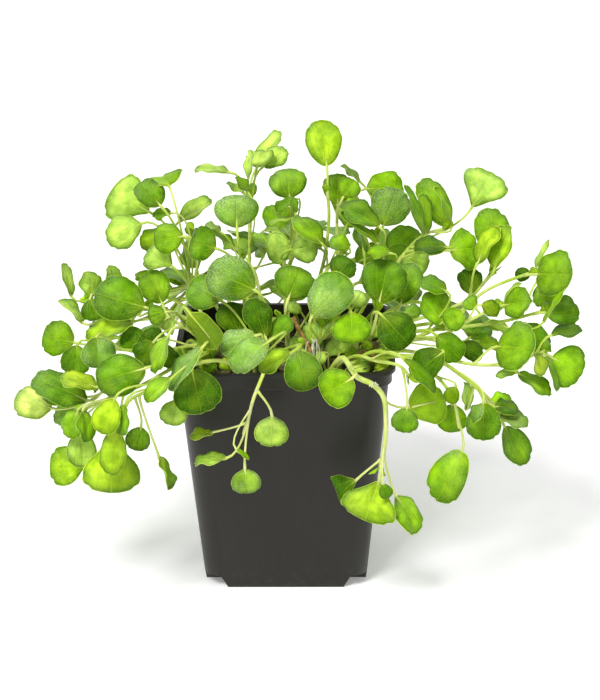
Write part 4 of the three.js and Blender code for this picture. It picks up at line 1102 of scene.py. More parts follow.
def makeBladeMaster():
    # one flat round blade of radius 1, its foot at -X and its tip at +X, as a closed sheet
    bpy.ops.mesh.primitive_circle_add(vertices=bladeLook["points"], radius=1, fill_type="NGON")
    master = bpy.context.active_object
    master.name = "bladeMaster"
    bpy.ops.object.mode_set(mode="EDIT")
    bpy.ops.mesh.select_mode(type="FACE")
    bpy.ops.mesh.select_all(action="SELECT")
    reached = 1
    for share in bladeLook["rings"]:
        bpy.ops.mesh.inset(thickness=(reached - share) * math.cos(math.pi / bladeLook["points"]))
        reached = share
    bpy.ops.mesh.poke()
    bpy.ops.mesh.select_all(action="SELECT")
    bpy.ops.mesh.extrude_region_move(TRANSFORM_OT_translate={"value": (0, 0, -0.1)})
    bpy.ops.mesh.select_all(action="SELECT")
    bpy.ops.mesh.normals_make_consistent(inside=False)
    bpy.ops.object.mode_set(mode="OBJECT")
    bpy.ops.object.shade_smooth()
    while master.data.uv_layers:
        master.data.uv_layers.remove(master.data.uv_layers[0])
    master.data.uv_layers.new(name="alongBlade")
    return master


def marginOf(blade, angles, draw):
    # the outline of a blade at the angles given, round from its foot: a spoon with notches near its tip
    length, half = blade["length"], blade["width"] / 2
    turned = np.radians(np.abs(angles))
    along = length * (0.5 - 0.5 * np.cos(turned))
    # an apron is widest past its middle, and straight from there to its foot
    isApron = blade["form"] == "apron"
    fullness = bladeLook["apronFullness"] if isApron else bladeLook["fullness"]
    joinAngle = math.radians(bladeLook["apronJoin"] if isApron else bladeLook["join"])
    half = half * (bladeLook["apronWidth"] if isApron else 1)
    aside = np.sin(turned) * (1 - fullness * np.cos(turned)) * half
    joinAlong = length * (0.5 - 0.5 * math.cos(joinAngle))
    joinAside = math.sin(joinAngle) * (1 - fullness * math.cos(joinAngle)) * half
    # near the foot the edge runs into the petiole, in a wedge on some leaves and rounded on others
    roundness = {"apron": 0.0, "square": 1.2}.get(blade["form"], draw(0.1, 0.95))
    straight = np.array((joinAlong * 0.5, joinAside * 0.42))
    rounded = np.array((joinAlong * 0.04, joinAside * 0.62))
    corner = straight * (1 - roundness) + rounded * roundness
    low = turned < joinAngle
    share = turned[low] / joinAngle
    footAside = min(bladeLook["foot"], half * 0.3)
    along[low] = 2 * share * (1 - share) * corner[0] + share**2 * joinAlong
    aside[low] = (1 - share) ** 2 * footAside + 2 * share * (1 - share) * corner[1] + share**2 * joinAside
    aside[np.abs(angles) < 1e-6] = 0
    return np.column_stack((along, aside * np.sign(angles)))


def shapeBlade(master, blade, draw):
    # each blade has an outline, a cup, a fold and waves of its own
    piece = copyOf(master)
    places = pointsOf(piece)
    angles = np.degrees(np.arctan2(places[:, 1], -places[:, 0]))
    share = np.minimum(np.hypot(places[:, 0], places[:, 1]), 1)
    margin = marginOf(blade, angles, draw)
    heart = np.array((blade["length"] / 2, 0))
    # notches are cut where a margin point is drawn in, and the points beside it stand out a little
    depth = np.zeros(len(places))
    for notch in bladeLook["notches"]:
        apart = np.abs((angles - notch + 180) % 360 - 180)
        isDeep = abs(notch) == bladeLook["deepNotch"]
        amount = bladeLook["notchDepth"] * (draw(0.35, 0.9) if isDeep else max(0, draw(-0.25, 0.6)))
        depth += np.where(apart < 1, amount, 0) - np.where((apart > 1) & (apart < 11), amount * 0.16, 0)
    pull = 1 - depth * np.clip((share - 0.9) / 0.1, 0, 1)
    flat = heart + (margin - heart) * (share * pull)[:, None]
    u = flat[:, 0] / blade["length"]
    v = flat[:, 1] / (blade["width"] / 2)
    spots = onBlade(blade, flat[:, 0], flat[:, 1])
    # the margin curls and ruffles a little, and the blade is thinner towards it
    ruffle = bladeLook["ruffle"] * blade["width"] / 18
    waves = np.sin(np.radians(angles) * draw(2.6, 4.4) + draw(0, 6.28)) + 0.5 * np.sin(
        np.radians(angles) * draw(5, 7) + draw(0, 6.28))
    lift = ruffle * waves * share**3 * np.clip(u * 4, 0, 1)
    lift = lift - bladeLook["rollDown"] * blade["width"] * draw(-0.3, 1.3) * share**5
    fold = blade["width"] * draw(0.0, 0.17) * (np.abs(v) - v * v)
    crease = fold - 0.35 * np.exp(-(v / 0.09) ** 2) * np.clip(1.1 - u, 0, 1) * np.clip(1 - share * 0.4, 0, 1)
    isUnder = places[:, 2] < -0.05
    thin = 1 - bladeLook["thinning"] * share**4
    middle = (bladeLook["top"] + bladeLook["under"]) / 2
    height = middle + (np.where(isUnder, bladeLook["under"], bladeLook["top"]) - middle) * thin
    spots = spots + blade["upper"] * (height + lift + crease)[:, None]
    setPoints(piece, spots * mm)
    # the UV map runs along and across the blade, and the attributes hold its colour
    corner = np.empty(len(piece.data.loops), int)
    piece.data.loops.foreach_get("vertex_index", corner)
    sheet = np.column_stack((0.5 + 0.45 * v, u))[corner]
    piece.data.uv_layers[0].data.foreach_set("uv", sheet.ravel())
    lit = spots @ np.array(bladeLook["lightFrom"])
    lit = (lit - lit.min()) / max(np.ptp(lit), 1e-6)
    # painted light and shade: its colour runs from a darker side to a lighter one, the lighter side turned to the
    # light, with a painted shading gradient along it, and is a little different in its two halves as painted fold
    # shade
    shown, sheen = tones[blade["tone"]]
    paintedShade = 0.5 * (lit - 0.5) + draw(-0.35, 0.35) * (u - 0.5) + draw(-0.2, 0.2) * np.tanh(v * 5)
    tone = np.array(linear(shown)) * draw(*bladeLook["toneSpread"])
    tone = tone * np.exp(paintedShade[:, None] * (1, 0.85, 1.5))
    pale = np.array(linear(bladeLook["footColour"]))
    blend = np.clip(1 - u * 3.2, 0, 1)[:, None] ** 1.5 * bladeLook["footShare"]
    colour = tone * (1 - blend) + pale * blend
    addAttribute(piece, "leafTone", colour)
    addValue(piece, "underside", isUnder.astype(float))
    addValue(piece, "marginShare", share)
    # painted sheen and painted glints lie on the part of the upper face that is turned to the light
    glint = bladeLook["glint"] * draw(0, 1) * min(1, sheen * 6) * lit**3
    addValue(piece, "sheenShare", (sheen * (0.25 + 0.75 * lit) + glint) * ~isUnder)
    return piece


def addAttribute(piece, name, colours):
    layer = piece.data.color_attributes.new(name, "FLOAT_COLOR", "POINT")
    layer.data.foreach_set("color", np.column_stack((colours, np.ones(len(colours)))).ravel())


def addValue(piece, name, values):
    layer = piece.data.attributes.new(name, "FLOAT", "POINT")
    layer.data.foreach_set("value", np.ascontiguousarray(values, dtype=float))


def leafSkin():
    look = Finish("leafSkin")
    place = look.place()
    sheet = look.parts(look.add("ShaderNodeUVMap", uv_map="alongBlade").outputs[0])
    aside = look.times(look.work("ABSOLUTE", look.minus(sheet[0], 0.5)), 2.2)
    along = sheet[1]
    tone = look.own("leafTone", "Color")
    under = look.own("underside")
    margin = look.own("marginShare")
    # veins fan out from the foot and bend towards the tip
    reach = look.work("SQRT", look.plus(look.times(aside, aside), look.times(look.times(along, along), 3.0)))
    fan = look.work("ARCTAN2", aside, look.times(along, 1.75))
    fan = look.times(fan, look.plus(1.0, look.times(reach, 0.32)))
    fan = look.plus(fan, look.times(look.noise(place, 5, 2), 0.16))
    phase = look.work("PINGPONG", look.plus(look.work("DIVIDE", fan, 0.46), 9.83), 0.5)
    offset = look.times(look.times(phase, 0.46), reach)
    sideVein = look.fade(offset, 0.008, 0.036, 1.0, 0.0)
    sideVein = look.times(sideVein, look.fade(reach, 0.5, 1.5, 1.0, 0.3))
    ribWidth = look.minus(0.07, look.times(along, 0.055))
    midrib = look.fade(look.work("DIVIDE", aside, ribWidth), 0.3, 1.0, 1.0, 0.0)
    veins = look.work("MAXIMUM", midrib, look.times(sideVein, 0.65))
    net = look.fade(look.cells(place, 1.25, "DISTANCE_TO_EDGE"), 0.02, 0.12, 1.0, 0.0)
    blotches = look.noise(place, 5, 3)
    patches = look.noise(place, 14, 2)
    # colour: mottled, with painted shade before the margin and a painted dark line just inside the edge, paler in the
    # veins and on the underside, with a painted highlight along the rim
    shade = look.mix(look.fade(blotches, 0.3, 0.72), linear((150, 176, 70)), linear((255, 255, 200)))
    colour = look.mix(0.8, tone, shade, "MULTIPLY")
    colour = look.mix(look.times(look.fade(patches, 0.45, 0.7), 0.22), colour, linear((180, 212, 20)))
    # painted shade: the blade is darker before its margin, in patches, as if shaded where it cups
    darker = look.mix(0.7, colour, linear((96, 140, 20)), "MULTIPLY")
    band = look.times(look.fade(margin, 0.55, 0.95), look.fade(patches, 0.25, 0.7, 0.35, 0.95))
    colour = look.mix(band, colour, darker)
    # painted shade: a thin dark line just inside the edge of each blade
    paintedEdgeLine = look.times(look.fade(margin, 0.84, 0.95), 0.55)
    colour = look.mix(paintedEdgeLine, colour, linear((40, 84, 0)))
    lighter = look.mix(0.5, tone, linear((198, 228, 34)))
    colour = look.mix(look.times(net, 0.16), colour, lighter)
    veinShare = look.times(veins, look.plus(look.times(under, 0.1), 0.46))
    colour = look.mix(veinShare, colour, lighter)
    # painted highlight: a thin pale rim along the very edge, as if the edge caught the light
    rim = look.mix(0.5, tone, linear((230, 246, 100)))
    rimHighlightShare = look.fade(patches, 0.35, 0.6, 0.8, 0.3)
    colour = look.mix(look.times(look.fade(margin, 0.965, 0.985), rimHighlightShare), colour, rim)
    paler = look.mix(0.4, colour, linear((200, 230, 70)))
    colour = look.mix(look.times(under, 0.5), colour, paler)
    # painted sheen: fine whitish grains where the waxy skin would catch the light
    pores = look.noise(place, 0.42, 2)
    pits = look.fade(look.cells(place, 0.8), 0.2, 0.65, 0.0, 1.0)
    sheen = look.own("sheenShare")
    grains = look.times(look.fade(pores, 0.4, 0.62), look.plus(look.times(pits, 0.5), 0.5))
    grains = look.plus(look.times(grains, 0.88), 0.12)
    grains = look.times(look.times(grains, sheen), look.fade(patches, 0.3, 0.62))
    colour = look.mix(look.times(grains, 0.75), colour, linear((214, 238, 180)))
    # relief: sunken veins on top, a fine net of cells and pores
    pillow = look.times(look.fade(offset, 0.0, 0.14), look.fade(reach, 0.25, 0.7))
    relief = look.bump(look.times(pillow, look.fade(patches, 0.35, 0.65)), 0.4, 0.35)
    relief = look.bump(look.minus(1.0, veins), 0.22, 0.8, relief)
    relief = look.bump(look.minus(1.0, net), 0.1, 0.7, relief)
    relief = look.bump(blotches, 1.2, 0.6, relief)
    relief = look.bump(pores, 0.07, 0.6, relief)
    roughness = look.plus(look.times(pores, 0.2), look.times(under, 0.15))
    look.set(Base_Color=colour, Roughness=look.plus(roughness, 0.26), Normal=relief, IOR=1.36,
             Specular_IOR_Level=0.36, Specular_Tint=(0.7, 0.95, 0.3, 1), Subsurface_Weight=0.45,
             Subsurface_Radius=(0.7, 1.0, 0.1), Subsurface_Scale=0.0006)
    return look.material


def stemSkin():
    look = Finish("stemSkin")
    place = look.place()
    height = look.parts(place)["Z"]
    clouds = look.noise(place, 9, 3)
    fibres = look.noise(place, 0.7, 2)
    green = look.mix(look.fade(clouds, 0.36, 0.66), linear((150, 184, 34)), linear((190, 212, 76)))
    pale = look.mix(look.fade(clouds, 0.36, 0.66), linear((204, 222, 92)), linear((236, 240, 164)))
    colour = look.mix(look.own("paleness"), green, pale)
    low = look.fade(height, 0.088, 0.1, 1.0, 0.0)     # paler where the stems leave the compost
    colour = look.mix(look.times(low, 0.35), colour, linear((208, 204, 150)))
    colour = look.mix(look.times(look.fade(fibres, 0.5, 0.75), 0.2), colour, linear((180, 206, 64)))
    relief = look.bump(fibres, 0.06, 0.4)
    look.set(Base_Color=colour, Normal=relief, Roughness=look.plus(look.times(fibres, 0.2), 0.3), IOR=1.42,
             Subsurface_Weight=0.3, Subsurface_Radius=(0.9, 1.0, 0.3), Subsurface_Scale=0.0015)
    return look.material


# Stems and petioles, in mm: the radii at the foot and head of a stem, of a petiole, of its flare at both
# ends and of the midrib, and how much stouter and paler some stems are
stalkLook = {
    "foot": 0.9,
    "head": 0.62,
    "petiole": 0.46,
    "flare": 0.3,
    "midrib": 0.34,
    "midribSteps": 9,
    "roundness": 2,
    "step": 2.2,
    "stemSpots": 121,
    "stouter": {"right_hanging": 1.45, "lower_right": 1.2, "left_low_outer": 1.2},
    "bareTips": ("lower_right_low", "front_hanging"),
    "paler": {"front_hanging": 0.9, "right_hanging": 0.6, "left_low_outer": 0.6, "right_high": 0.55,
              "high_left": 0.4, "lower_right": 0.1, "far_right": 0.35},
    "paleness": (0.15, 0.6),
    "youngPaleness": 0.8,
}


def drawTubes(name, runs):
    # each run is a list of places in mm with the tube's radius at each
    curve = bpy.data.curves.new(name, "CURVE")
    curve.dimensions = "3D"
    curve.bevel_depth = mm
    curve.bevel_resolution = stalkLook["roundness"]
    curve.use_fill_caps = True
    for places, radii in runs:
        spline = curve.splines.new("POLY")
        spline.points.add(len(places) - 1)
        for point, place, radius in zip(spline.points, places, radii):
            point.co = (*(place * mm), 1)
            point.radius = radius
    piece = bpy.data.objects.new(name, curve)
    bpy.context.collection.objects.link(piece)
    makeActive(piece)
    bpy.ops.object.convert(target="MESH")
    piece = bpy.context.active_object
    bpy.ops.object.shade_smooth()
    return piece


def stemRun(path, name):
    length = path.lengths()[-1]
    stouter = stalkLook["stouter"].get(name, 1)
    shares = np.linspace(0, 1, max(8, int(length / stalkLook["step"])))
    places = path.even(shares)
    radii = stalkLook["foot"] + (stalkLook["head"] - stalkLook["foot"]) * shares
    return places, radii * stouter * np.where(shares > 0.985, 0.7, 1)


def petioleRun(blade, path, stem):
    # the petiole starts in the stem, and runs on under the blade as its midrib
    length = path.lengths()[-1]
    count = max(6, int(length / stalkLook["step"]))
    shares = np.linspace(1, 0, count)
    places = path.even(shares)
    onStem = stem.even(np.linspace(0, 1, stalkLook["stemSpots"]))
    joint = onStem[np.argmin(np.linalg.norm(onStem - places[0], axis=1))]
    places = places + (joint - places[0]) * ((shares**3)[:, None])
    size = min(1, 0.55 + blade["width"] / 30)
    flare = np.exp(-((1 - shares) * length / 2.2)) + 0.6 * np.exp(-(shares * length / 2.5))
    radii = size * (stalkLook["petiole"] + stalkLook["flare"] * flare)
    down = size * stalkLook["petiole"] + 0.1
    places = places - blade["upper"] * (down * np.exp(-shares * length / 5))[:, None]
    steps = stalkLook["midribSteps"]
    along = np.linspace(0.04, bladeLook["midribShare"], steps) * blade["length"]
    ribRadius = size * stalkLook["midrib"] * np.linspace(1.5, 0.35, steps)
    rib = onBlade(blade, along, np.zeros(steps)) - blade["upper"] * (0.52 + 0.75 * ribRadius)[:, None]
    return np.vstack((places, rib)), np.concatenate((radii, ribRadius))


# Young leaves that are still folded close the tip of every stem
crownLook = {
    "tones": ("bright", "lime", "mid"),
    "spread": (0.35, 0.8),
    "behindTip": (0, 1.5),
    "length": (3.2, 6),
    "width": (2.4, 4),
}


def crownLeaves(stem, draw):
    tip, before = stem.even([1.0, 0.96])
    ahead = unit(tip - before)
    leaves = []
    for tone in crownLook["tones"]:
        sideways = unit(np.cross(ahead, unit(np.array((draw(-1, 1), draw(-1, 1), draw(-1, 1))))))
        axis = unit(ahead + sideways * draw(*crownLook["spread"]) + zAxis * 0.3)
        upper = -sideways + ahead * 0.3 + zAxis * 0.3
        upper = unit(upper - axis * np.dot(upper, axis))
        leaves.append({"foot": tip - ahead * draw(*crownLook["behindTip"]), "axis": axis,
                       "across": np.cross(upper, axis), "upper": upper, "length": draw(*crownLook["length"]),
                       "width": draw(*crownLook["width"]), "wave": draw(0, 6), "tone": tone, "form": "spoon"})
    return leaves


def makeShoots():
    grown = layOutShoots()
    print("shoots laid out")
    master = makeBladeMaster()
    skin, stalk = leafSkin(), stemSkin()
    draw = seededDraw(plant["looksSeed"])
    for one in grown:
        blades = [blade for blade, path in one["leaves"]]
        if one["name"] not in stalkLook["bareTips"]:
            blades += crownLeaves(one["stem"], draw)
        leaves = joinPieces([shapeBlade(master, blade, draw) for blade in blades], "leaves_" + one["name"])
        runs = [stemRun(one["stem"], one["name"])]
        runs += [petioleRun(blade, path, one["stem"]) for blade, path in one["leaves"]]
        stems = drawTubes("stems_" + one["name"], runs)
        stems.data.name = stems.name
        paleness = stalkLook["paler"].get(one["name"], draw(*stalkLook["paleness"]))
        addValue(stems, "paleness", np.full(len(stems.data.vertices), paleness))
        for piece, finish, slot in ((leaves, skin, "leaf"), (stems, stalk, "stem")):
            dress(piece, finish, slot)
            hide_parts("shoot_" + one["name"])
    bpy.data.objects.remove(master)
    print("shoots made")


makeShoots()


# The compost and what lies on it, in mm
compostLook = {
    "top": 86.6,
    "foot": 7,
    "gap": 0.3,
    "cells": 110,
    "lumps": 1.3,
    "lumpSize": 9,
    "grains": 0.5,
    "grainSize": 1.8,
    "smoothAngle": 50,
    "seed": 3,
}

# How many lie on it, and the sizes and shares that each is drawn between
crumbLook = {
    "count": 420,
    "fromWall": 2.5,
    "corner": 6,
    "small": (0.35, 1.0),
    "large": (1.1, 1.9),
    "largeEvery": 9,
    "stretch": ((0.6, 1.5), (0.6, 1.2), (0.35, 0.8)),
    "knobs": (0.7, 1.25),
    "lean": (-0.5, 0.5),
}

mossLook = {
    "tipRadius": 0.32,
    "tipsPerRadius": 9,
    "tipSize": (0.8, 1.7),
    "tipLean": (0.2, 0.9),
    "flatness": 0.34,
    "knobs": 0.14,
    "knobSize": 2.2,
    "sunk": 0.8,
}

fallenLook = {
    "turn": 30,
    "count": 26,
    "x": (-34, 34),
    "y": (-36, 34),
    "length": (4, 9),
    "width": (4, 8),
    "lift": 0.9,
    "tones": ("old", "brown", "olive"),
}

youngLook = {
    "turn": 35,
    "rootAside": (-6, 6),
    "rootBehind": (1, 8),
    "rootSunk": 0.5,
    "steps": 9,
    "radii": (0.34, 0.5),
}

rootletLook = {
    "count": 46,
    "x": (-36, 36),
    "y": (-38, 34),
    "limit": 38,
    "spots": 9,
    "step": 1.1,
    "bend": (-0.7, 0.7),
    "lift": 0.35,
    "radii": (0.2, 0.1),
    "curls": ((375, 382, 4), (378, 384, -3.5), (372, 381, 3)),
    "curlRadii": (0.3, 0.14),
    "strands": 9,
    "strandAcross": (302, 317),
    "strandDown": (338, 346),
    "strandSwing": (-5, 5),
    "strandDrop": (1.6, 2.6),
    "strandRadii": (0.26, 0.12),
}


def compostHeight(x, y):
    # lumps of a few millimetres, with grains on them
    wide, fine = compostLook["lumpSize"], compostLook["grainSize"]
    lumps = noise.fractal(Vector((x / wide, y / wide, 3)), 1.0, 2.0, 3)
    grains = noise.fractal(Vector((x / fine, y / fine, 8)), 0.8, 2.0, 3)
    return compostLook["top"] + compostLook["lumps"] * lumps + compostLook["grains"] * grains


def makeCompost():
    width = insideWidth(compostLook["top"]) - 2 * compostLook["gap"]
    half = width / 2
    corner = width * potSize["cornerShare"] / 2
    bpy.ops.mesh.primitive_grid_add(x_subdivisions=compostLook["cells"], y_subdivisions=compostLook["cells"],
                                    size=width * mm, location=(0, 0, 0))
    compost = bpy.context.active_object
    places = pointsOf(compost) / mm
    # the grid's corners are drawn in to the pot's round ones
    over = np.abs(places[:, :2]) - (half - corner)
    outside = (over > 0).all(axis=1)
    reach = np.hypot(over[:, 0], over[:, 1])
    tall = np.maximum(over[:, 0], over[:, 1])
    squeeze = np.where(outside & (reach > 0), tall / np.maximum(reach, 1e-9), 1)
    held = np.where(outside[:, None], (half - corner) + over * squeeze[:, None], np.abs(places[:, :2]))
    places[:, :2] = np.sign(places[:, :2]) * held
    places[:, 2] = [compostHeight(x, y) for x, y, z in places]
    setPoints(compost, places * mm)
    bpy.ops.object.mode_set(mode="EDIT")
    bpy.ops.mesh.select_all(action="SELECT")
    narrower = (insideWidth(compostLook["foot"]) - 2 * compostLook["gap"]) / width
    raiseTo(compostLook["foot"], compostLook["top"], narrower)
    bpy.ops.transform.resize(value=(1, 1, 0), center_override=(0, 0, compostLook["foot"] * mm))
    bpy.ops.mesh.delete(type="FACE")
    bpy.ops.mesh.select_mode(type="EDGE")
    bpy.ops.mesh.select_all(action="DESELECT")
    bpy.ops.mesh.select_non_manifold()
    bpy.ops.mesh.edge_face_add()
    bpy.ops.mesh.select_all(action="SELECT")
    bpy.ops.mesh.normals_make_consistent(inside=False)
    bpy.ops.object.mode_set(mode="OBJECT")
    bpy.ops.object.shade_smooth_by_angle(angle=math.radians(compostLook["smoothAngle"]))
    nameBoth(compost, "compost")
    return compost


def scatterCrumbs():
    # crumbs of compost and bits of bark, from one knobbly lump
    bpy.ops.mesh.primitive_ico_sphere_add(subdivisions=1, radius=1)
    master = bpy.context.active_object
    draw = seededDraw(compostLook["seed"])
    reach = insideWidth(compostLook["top"]) / 2 - crumbLook["fromWall"]
    straight = reach - crumbLook["corner"]
    crumbs = []
    for i in range(crumbLook["count"]):
        x, y = draw(-reach, reach), draw(-reach, reach)
        if abs(x) > straight and abs(y) > straight:
            continue
        crumb = copyOf(master)
        size = draw(*crumbLook["small"]) if i % crumbLook["largeEvery"] else draw(*crumbLook["large"])
        stretch = np.array([draw(*limits) for limits in crumbLook["stretch"]]) * size
        knobs = [[draw(*crumbLook["knobs"])] for _ in crumb.data.vertices]
        places = pointsOf(crumb) * knobs * stretch
        turn = np.array(Matrix.Rotation(draw(0, 6.28), 3, "Z")
                        @ Matrix.Rotation(draw(*crumbLook["lean"]), 3, "X"))
        setPoints(crumb, (places @ turn.T + (x, y, compostHeight(x, y) + size * 0.2)) * mm)
        crumbs.append(crumb)
    bpy.data.objects.remove(master)
    return joinPieces(crumbs, "compost_crumbs")


def compostEarth():
    look = Finish("compostEarth")
    place = look.place()
    clouds = look.noise(place, 6, 4)
    grains = look.noise(place, 0.8, 3)
    bits = look.fade(look.cells(place, 1.3), 0.1, 0.22, 1.0, 0.0)
    colour = look.mix(look.fade(grains, 0.35, 0.7), linear((20, 18, 10)), linear((66, 54, 34)))
    colour = look.mix(look.times(look.fade(clouds, 0.5, 0.68), 0.5), colour, linear((70, 78, 24)))
    colour = look.mix(look.times(bits, look.fade(clouds, 0.45, 0.55)), colour, linear((122, 100, 62)))
    relief = look.bump(grains, 0.6, 0.8)
    look.set(Base_Color=colour, Normal=relief, Roughness=0.92)
    return look.material


def mossGreen():
    look = Finish("mossGreen")
    place = look.place()
    tufts = look.noise(place, 0.9, 3)
    clouds = look.noise(place, 5, 2)
    colour = look.mix(look.fade(tufts, 0.35, 0.7), linear((58, 78, 16)), linear((140, 172, 52)))
    colour = look.mix(look.times(look.fade(clouds, 0.5, 0.7), 0.5), colour, linear((120, 118, 44)))
    look.set(Base_Color=colour, Normal=look.bump(tufts, 0.4, 0.7), Roughness=0.8)
    return look.material


# Moss cushions: middle and radius of each
mossPlaces = ((-30, -33, 6), (-18, -36, 4.5), (-4, -35, 5), (12, -36, 5), (31, -33, 6), (34, -18, 4.5),
              (-36, -20, 4.5), (22, -30, 4), (-12, -26, 4.5), (0, -22, 4), (14, -20, 4.5), (-28, 14, 6), (18, 22, 6),
              (-6, 30, 5), (32, 8, 5), (-36, 30, 5), (2, 8, 5))


def makeMoss():
    # a cushion is a low knobbly dome, and short leafy tips stand all over it
    draw = seededDraw(compostLook["seed"] + 1)
    bpy.ops.mesh.primitive_cone_add(vertices=4, radius1=mossLook["tipRadius"], radius2=0.0, depth=1.0,
                                    location=(0, 0, 0.3))
    tip = bpy.context.active_object
    bpy.ops.object.transform_apply(location=True)
    pieces = []
    for x, y, radius in mossPlaces:
        bpy.ops.mesh.primitive_ico_sphere_add(subdivisions=3, radius=radius * mm)
        dome = bpy.context.active_object
        places = pointsOf(dome) / mm
        low = compostHeight(x, y) - mossLook["sunk"]
        knobs = np.array([noise.fractal(Vector(place / mossLook["knobSize"]), 1.0, 2.0, 3) for place in places])
        places = places * (1 + mossLook["knobs"] * knobs)[:, None] * (1, 1, mossLook["flatness"]) + (x, y, low)
        setPoints(dome, places * mm)
        pieces.append(dome)
        for i in range(int(radius * mossLook["tipsPerRadius"])):
            angle, reach = draw(0, 6.28), radius * math.sqrt(draw(0, 0.92))
            spot = np.array((x + reach * math.cos(angle), y + reach * math.sin(angle), 0))
            spot[2] = low + mossLook["flatness"] * math.sqrt(max(radius**2 - reach**2, 0)) * 1.02
            frond = copyOf(tip)
            leaning = Matrix.Rotation(angle, 3, "Z") @ Matrix.Rotation(draw(*mossLook["tipLean"]), 3, "Y")
            size = draw(*mossLook["tipSize"])
            setPoints(frond, (pointsOf(frond) * size @ np.array(leaning).T + spot) * mm)
            pieces.append(frond)
    bpy.data.objects.remove(tip)
    moss = joinPieces(pieces, "moss_cushions")
    bpy.ops.object.shade_smooth()
    return moss


# Old leaves that lie between the stems: picture point of foot and tip, mm before the middle, width, tone
oldLeaves = (
    ((312, 352), (322, 330), 20, 11, "olive"), ((328, 356), (345, 334), 24, 12, "old"),
    ((205, 358), (226, 350), 33, 11, "old"), ((184, 356), (200, 344), 30, 10, "olive"),
    ((346, 362), (372, 358), 33, 10, "old"), ((296, 362), (276, 356), 33, 10, "brown"),
    ((238, 362), (254, 354), 34, 9, "olive"), ((382, 356), (366, 350), 24, 9, "brown"),
)


def smallBlade(spot, mostTurn, draw):
    foot, tip, near, width, tone = spot
    row = {"foot": foot, "tip": tip, "near": near, "width": width, "turn": draw(-mostTurn, mostTurn), "tone": tone,
           "lean": None, "form": "spoon"}
    return {**placeBlade(row, 0), "wave": draw(0, 6)}


def makeOldLeaves(master):
    draw = seededDraw(compostLook["seed"] + 2)
    pieces = [shapeBlade(master, smallBlade(spot, fallenLook["turn"], draw), draw) for spot in oldLeaves]
    for i in range(fallenLook["count"]):
        # small fallen ones, flat on the compost
        x, y, around = draw(*fallenLook["x"]), draw(*fallenLook["y"]), draw(0, 6.28)
        axis = np.array((math.cos(around), math.sin(around), draw(-0.1, 0.25)))
        upper = unit(np.array((draw(-0.4, 0.4), draw(-0.4, 0.4), 1)))
        axis = unit(axis - upper * np.dot(axis, upper))
        foot = np.array((x, y, compostHeight(x, y) + fallenLook["lift"]))
        pieces.append(shapeBlade(master, {
            "foot": foot, "axis": axis, "across": np.cross(upper, axis), "upper": upper,
            "length": draw(*fallenLook["length"]), "width": draw(*fallenLook["width"]), "wave": draw(0, 6),
            "tone": fallenLook["tones"][i % 3], "form": "spoon",
        }, draw))
    return joinPieces(pieces, "fallen_leaves")


# Young leaves on short stalks between the stems: picture point of foot and tip, mm before the middle, width, tone.
# Most tones are set paler than the leaves' own colour: painted light against the shade of the leaves above
youngLeaves = (
    ((312, 344), (312, 322), 24, 8, "pale"), ((327, 355), (341, 340), 26, 8, "white"),
    ((303, 351), (291, 338), 30, 7, "pale"), ((333, 341), (327, 324), 18, 5.5, "pale"),
    ((350, 346), (353, 361), 30, 6, "lime"), ((371, 337), (381, 325), 22, 6, "white"),
    ((301, 312), (288, 304), 16, 5, "white"), ((324, 352), (316, 363), 32, 6, "pale"),
    ((196, 344), (214, 357), 37, 9, "olive"), ((203, 373), (210, 358), 38, 8, "mid"),
    ((282, 352), (271, 360), 34, 6, "lime"), ((338, 331), (331, 315), 12, 6, "bright"),
    ((385, 352), (392, 338), 26, 7, "bright"), ((276, 330), (268, 318), 10, 7, "white"),
    ((362, 350), (371, 342), 28, 5, "lime"), ((346, 372), (369, 364), 37, 8, "white"),
    ((375, 371), (391, 363), 36, 7, "yellow"), ((340, 352), (351, 340), 30, 6, "pale"),
    ((318, 338), (327, 329), 26, 6, "white"), ((232, 368), (221, 360), 37, 6, "lime"),
    ((357, 331), (364, 318), 8, 6, "white"), ((296, 358), (305, 349), 32, 5, "white"),
)


def makeYoungShoots(master):
    draw = seededDraw(compostLook["seed"] + 4)
    leaves, stalks = [], []
    steps = youngLook["steps"]
    for spot in youngLeaves:
        blade = smallBlade(spot, youngLook["turn"], draw)
        leaves.append(shapeBlade(master, blade, draw))
        root = blade["foot"] + (draw(*youngLook["rootAside"]), draw(*youngLook["rootBehind"]), 0)
        root[2] = compostHeight(root[0], root[1]) - youngLook["rootSunk"]
        path = BowedPath(blade["foot"], blade["foot"] - blade["axis"] * 4, root + zAxis * 6, root)
        under = blade["upper"] * 0.5
        places = path.spaced(steps) - under * np.linspace(1, 0, steps + 1)[:, None]
        stalks.append((places, np.linspace(*youngLook["radii"], steps + 1)))
    youngStalks = drawTubes("young_stalks", stalks)
    addValue(youngStalks, "paleness", np.full(len(youngStalks.data.vertices), stalkLook["youngPaleness"]))
    return joinPieces(leaves, "young_leaves"), youngStalks


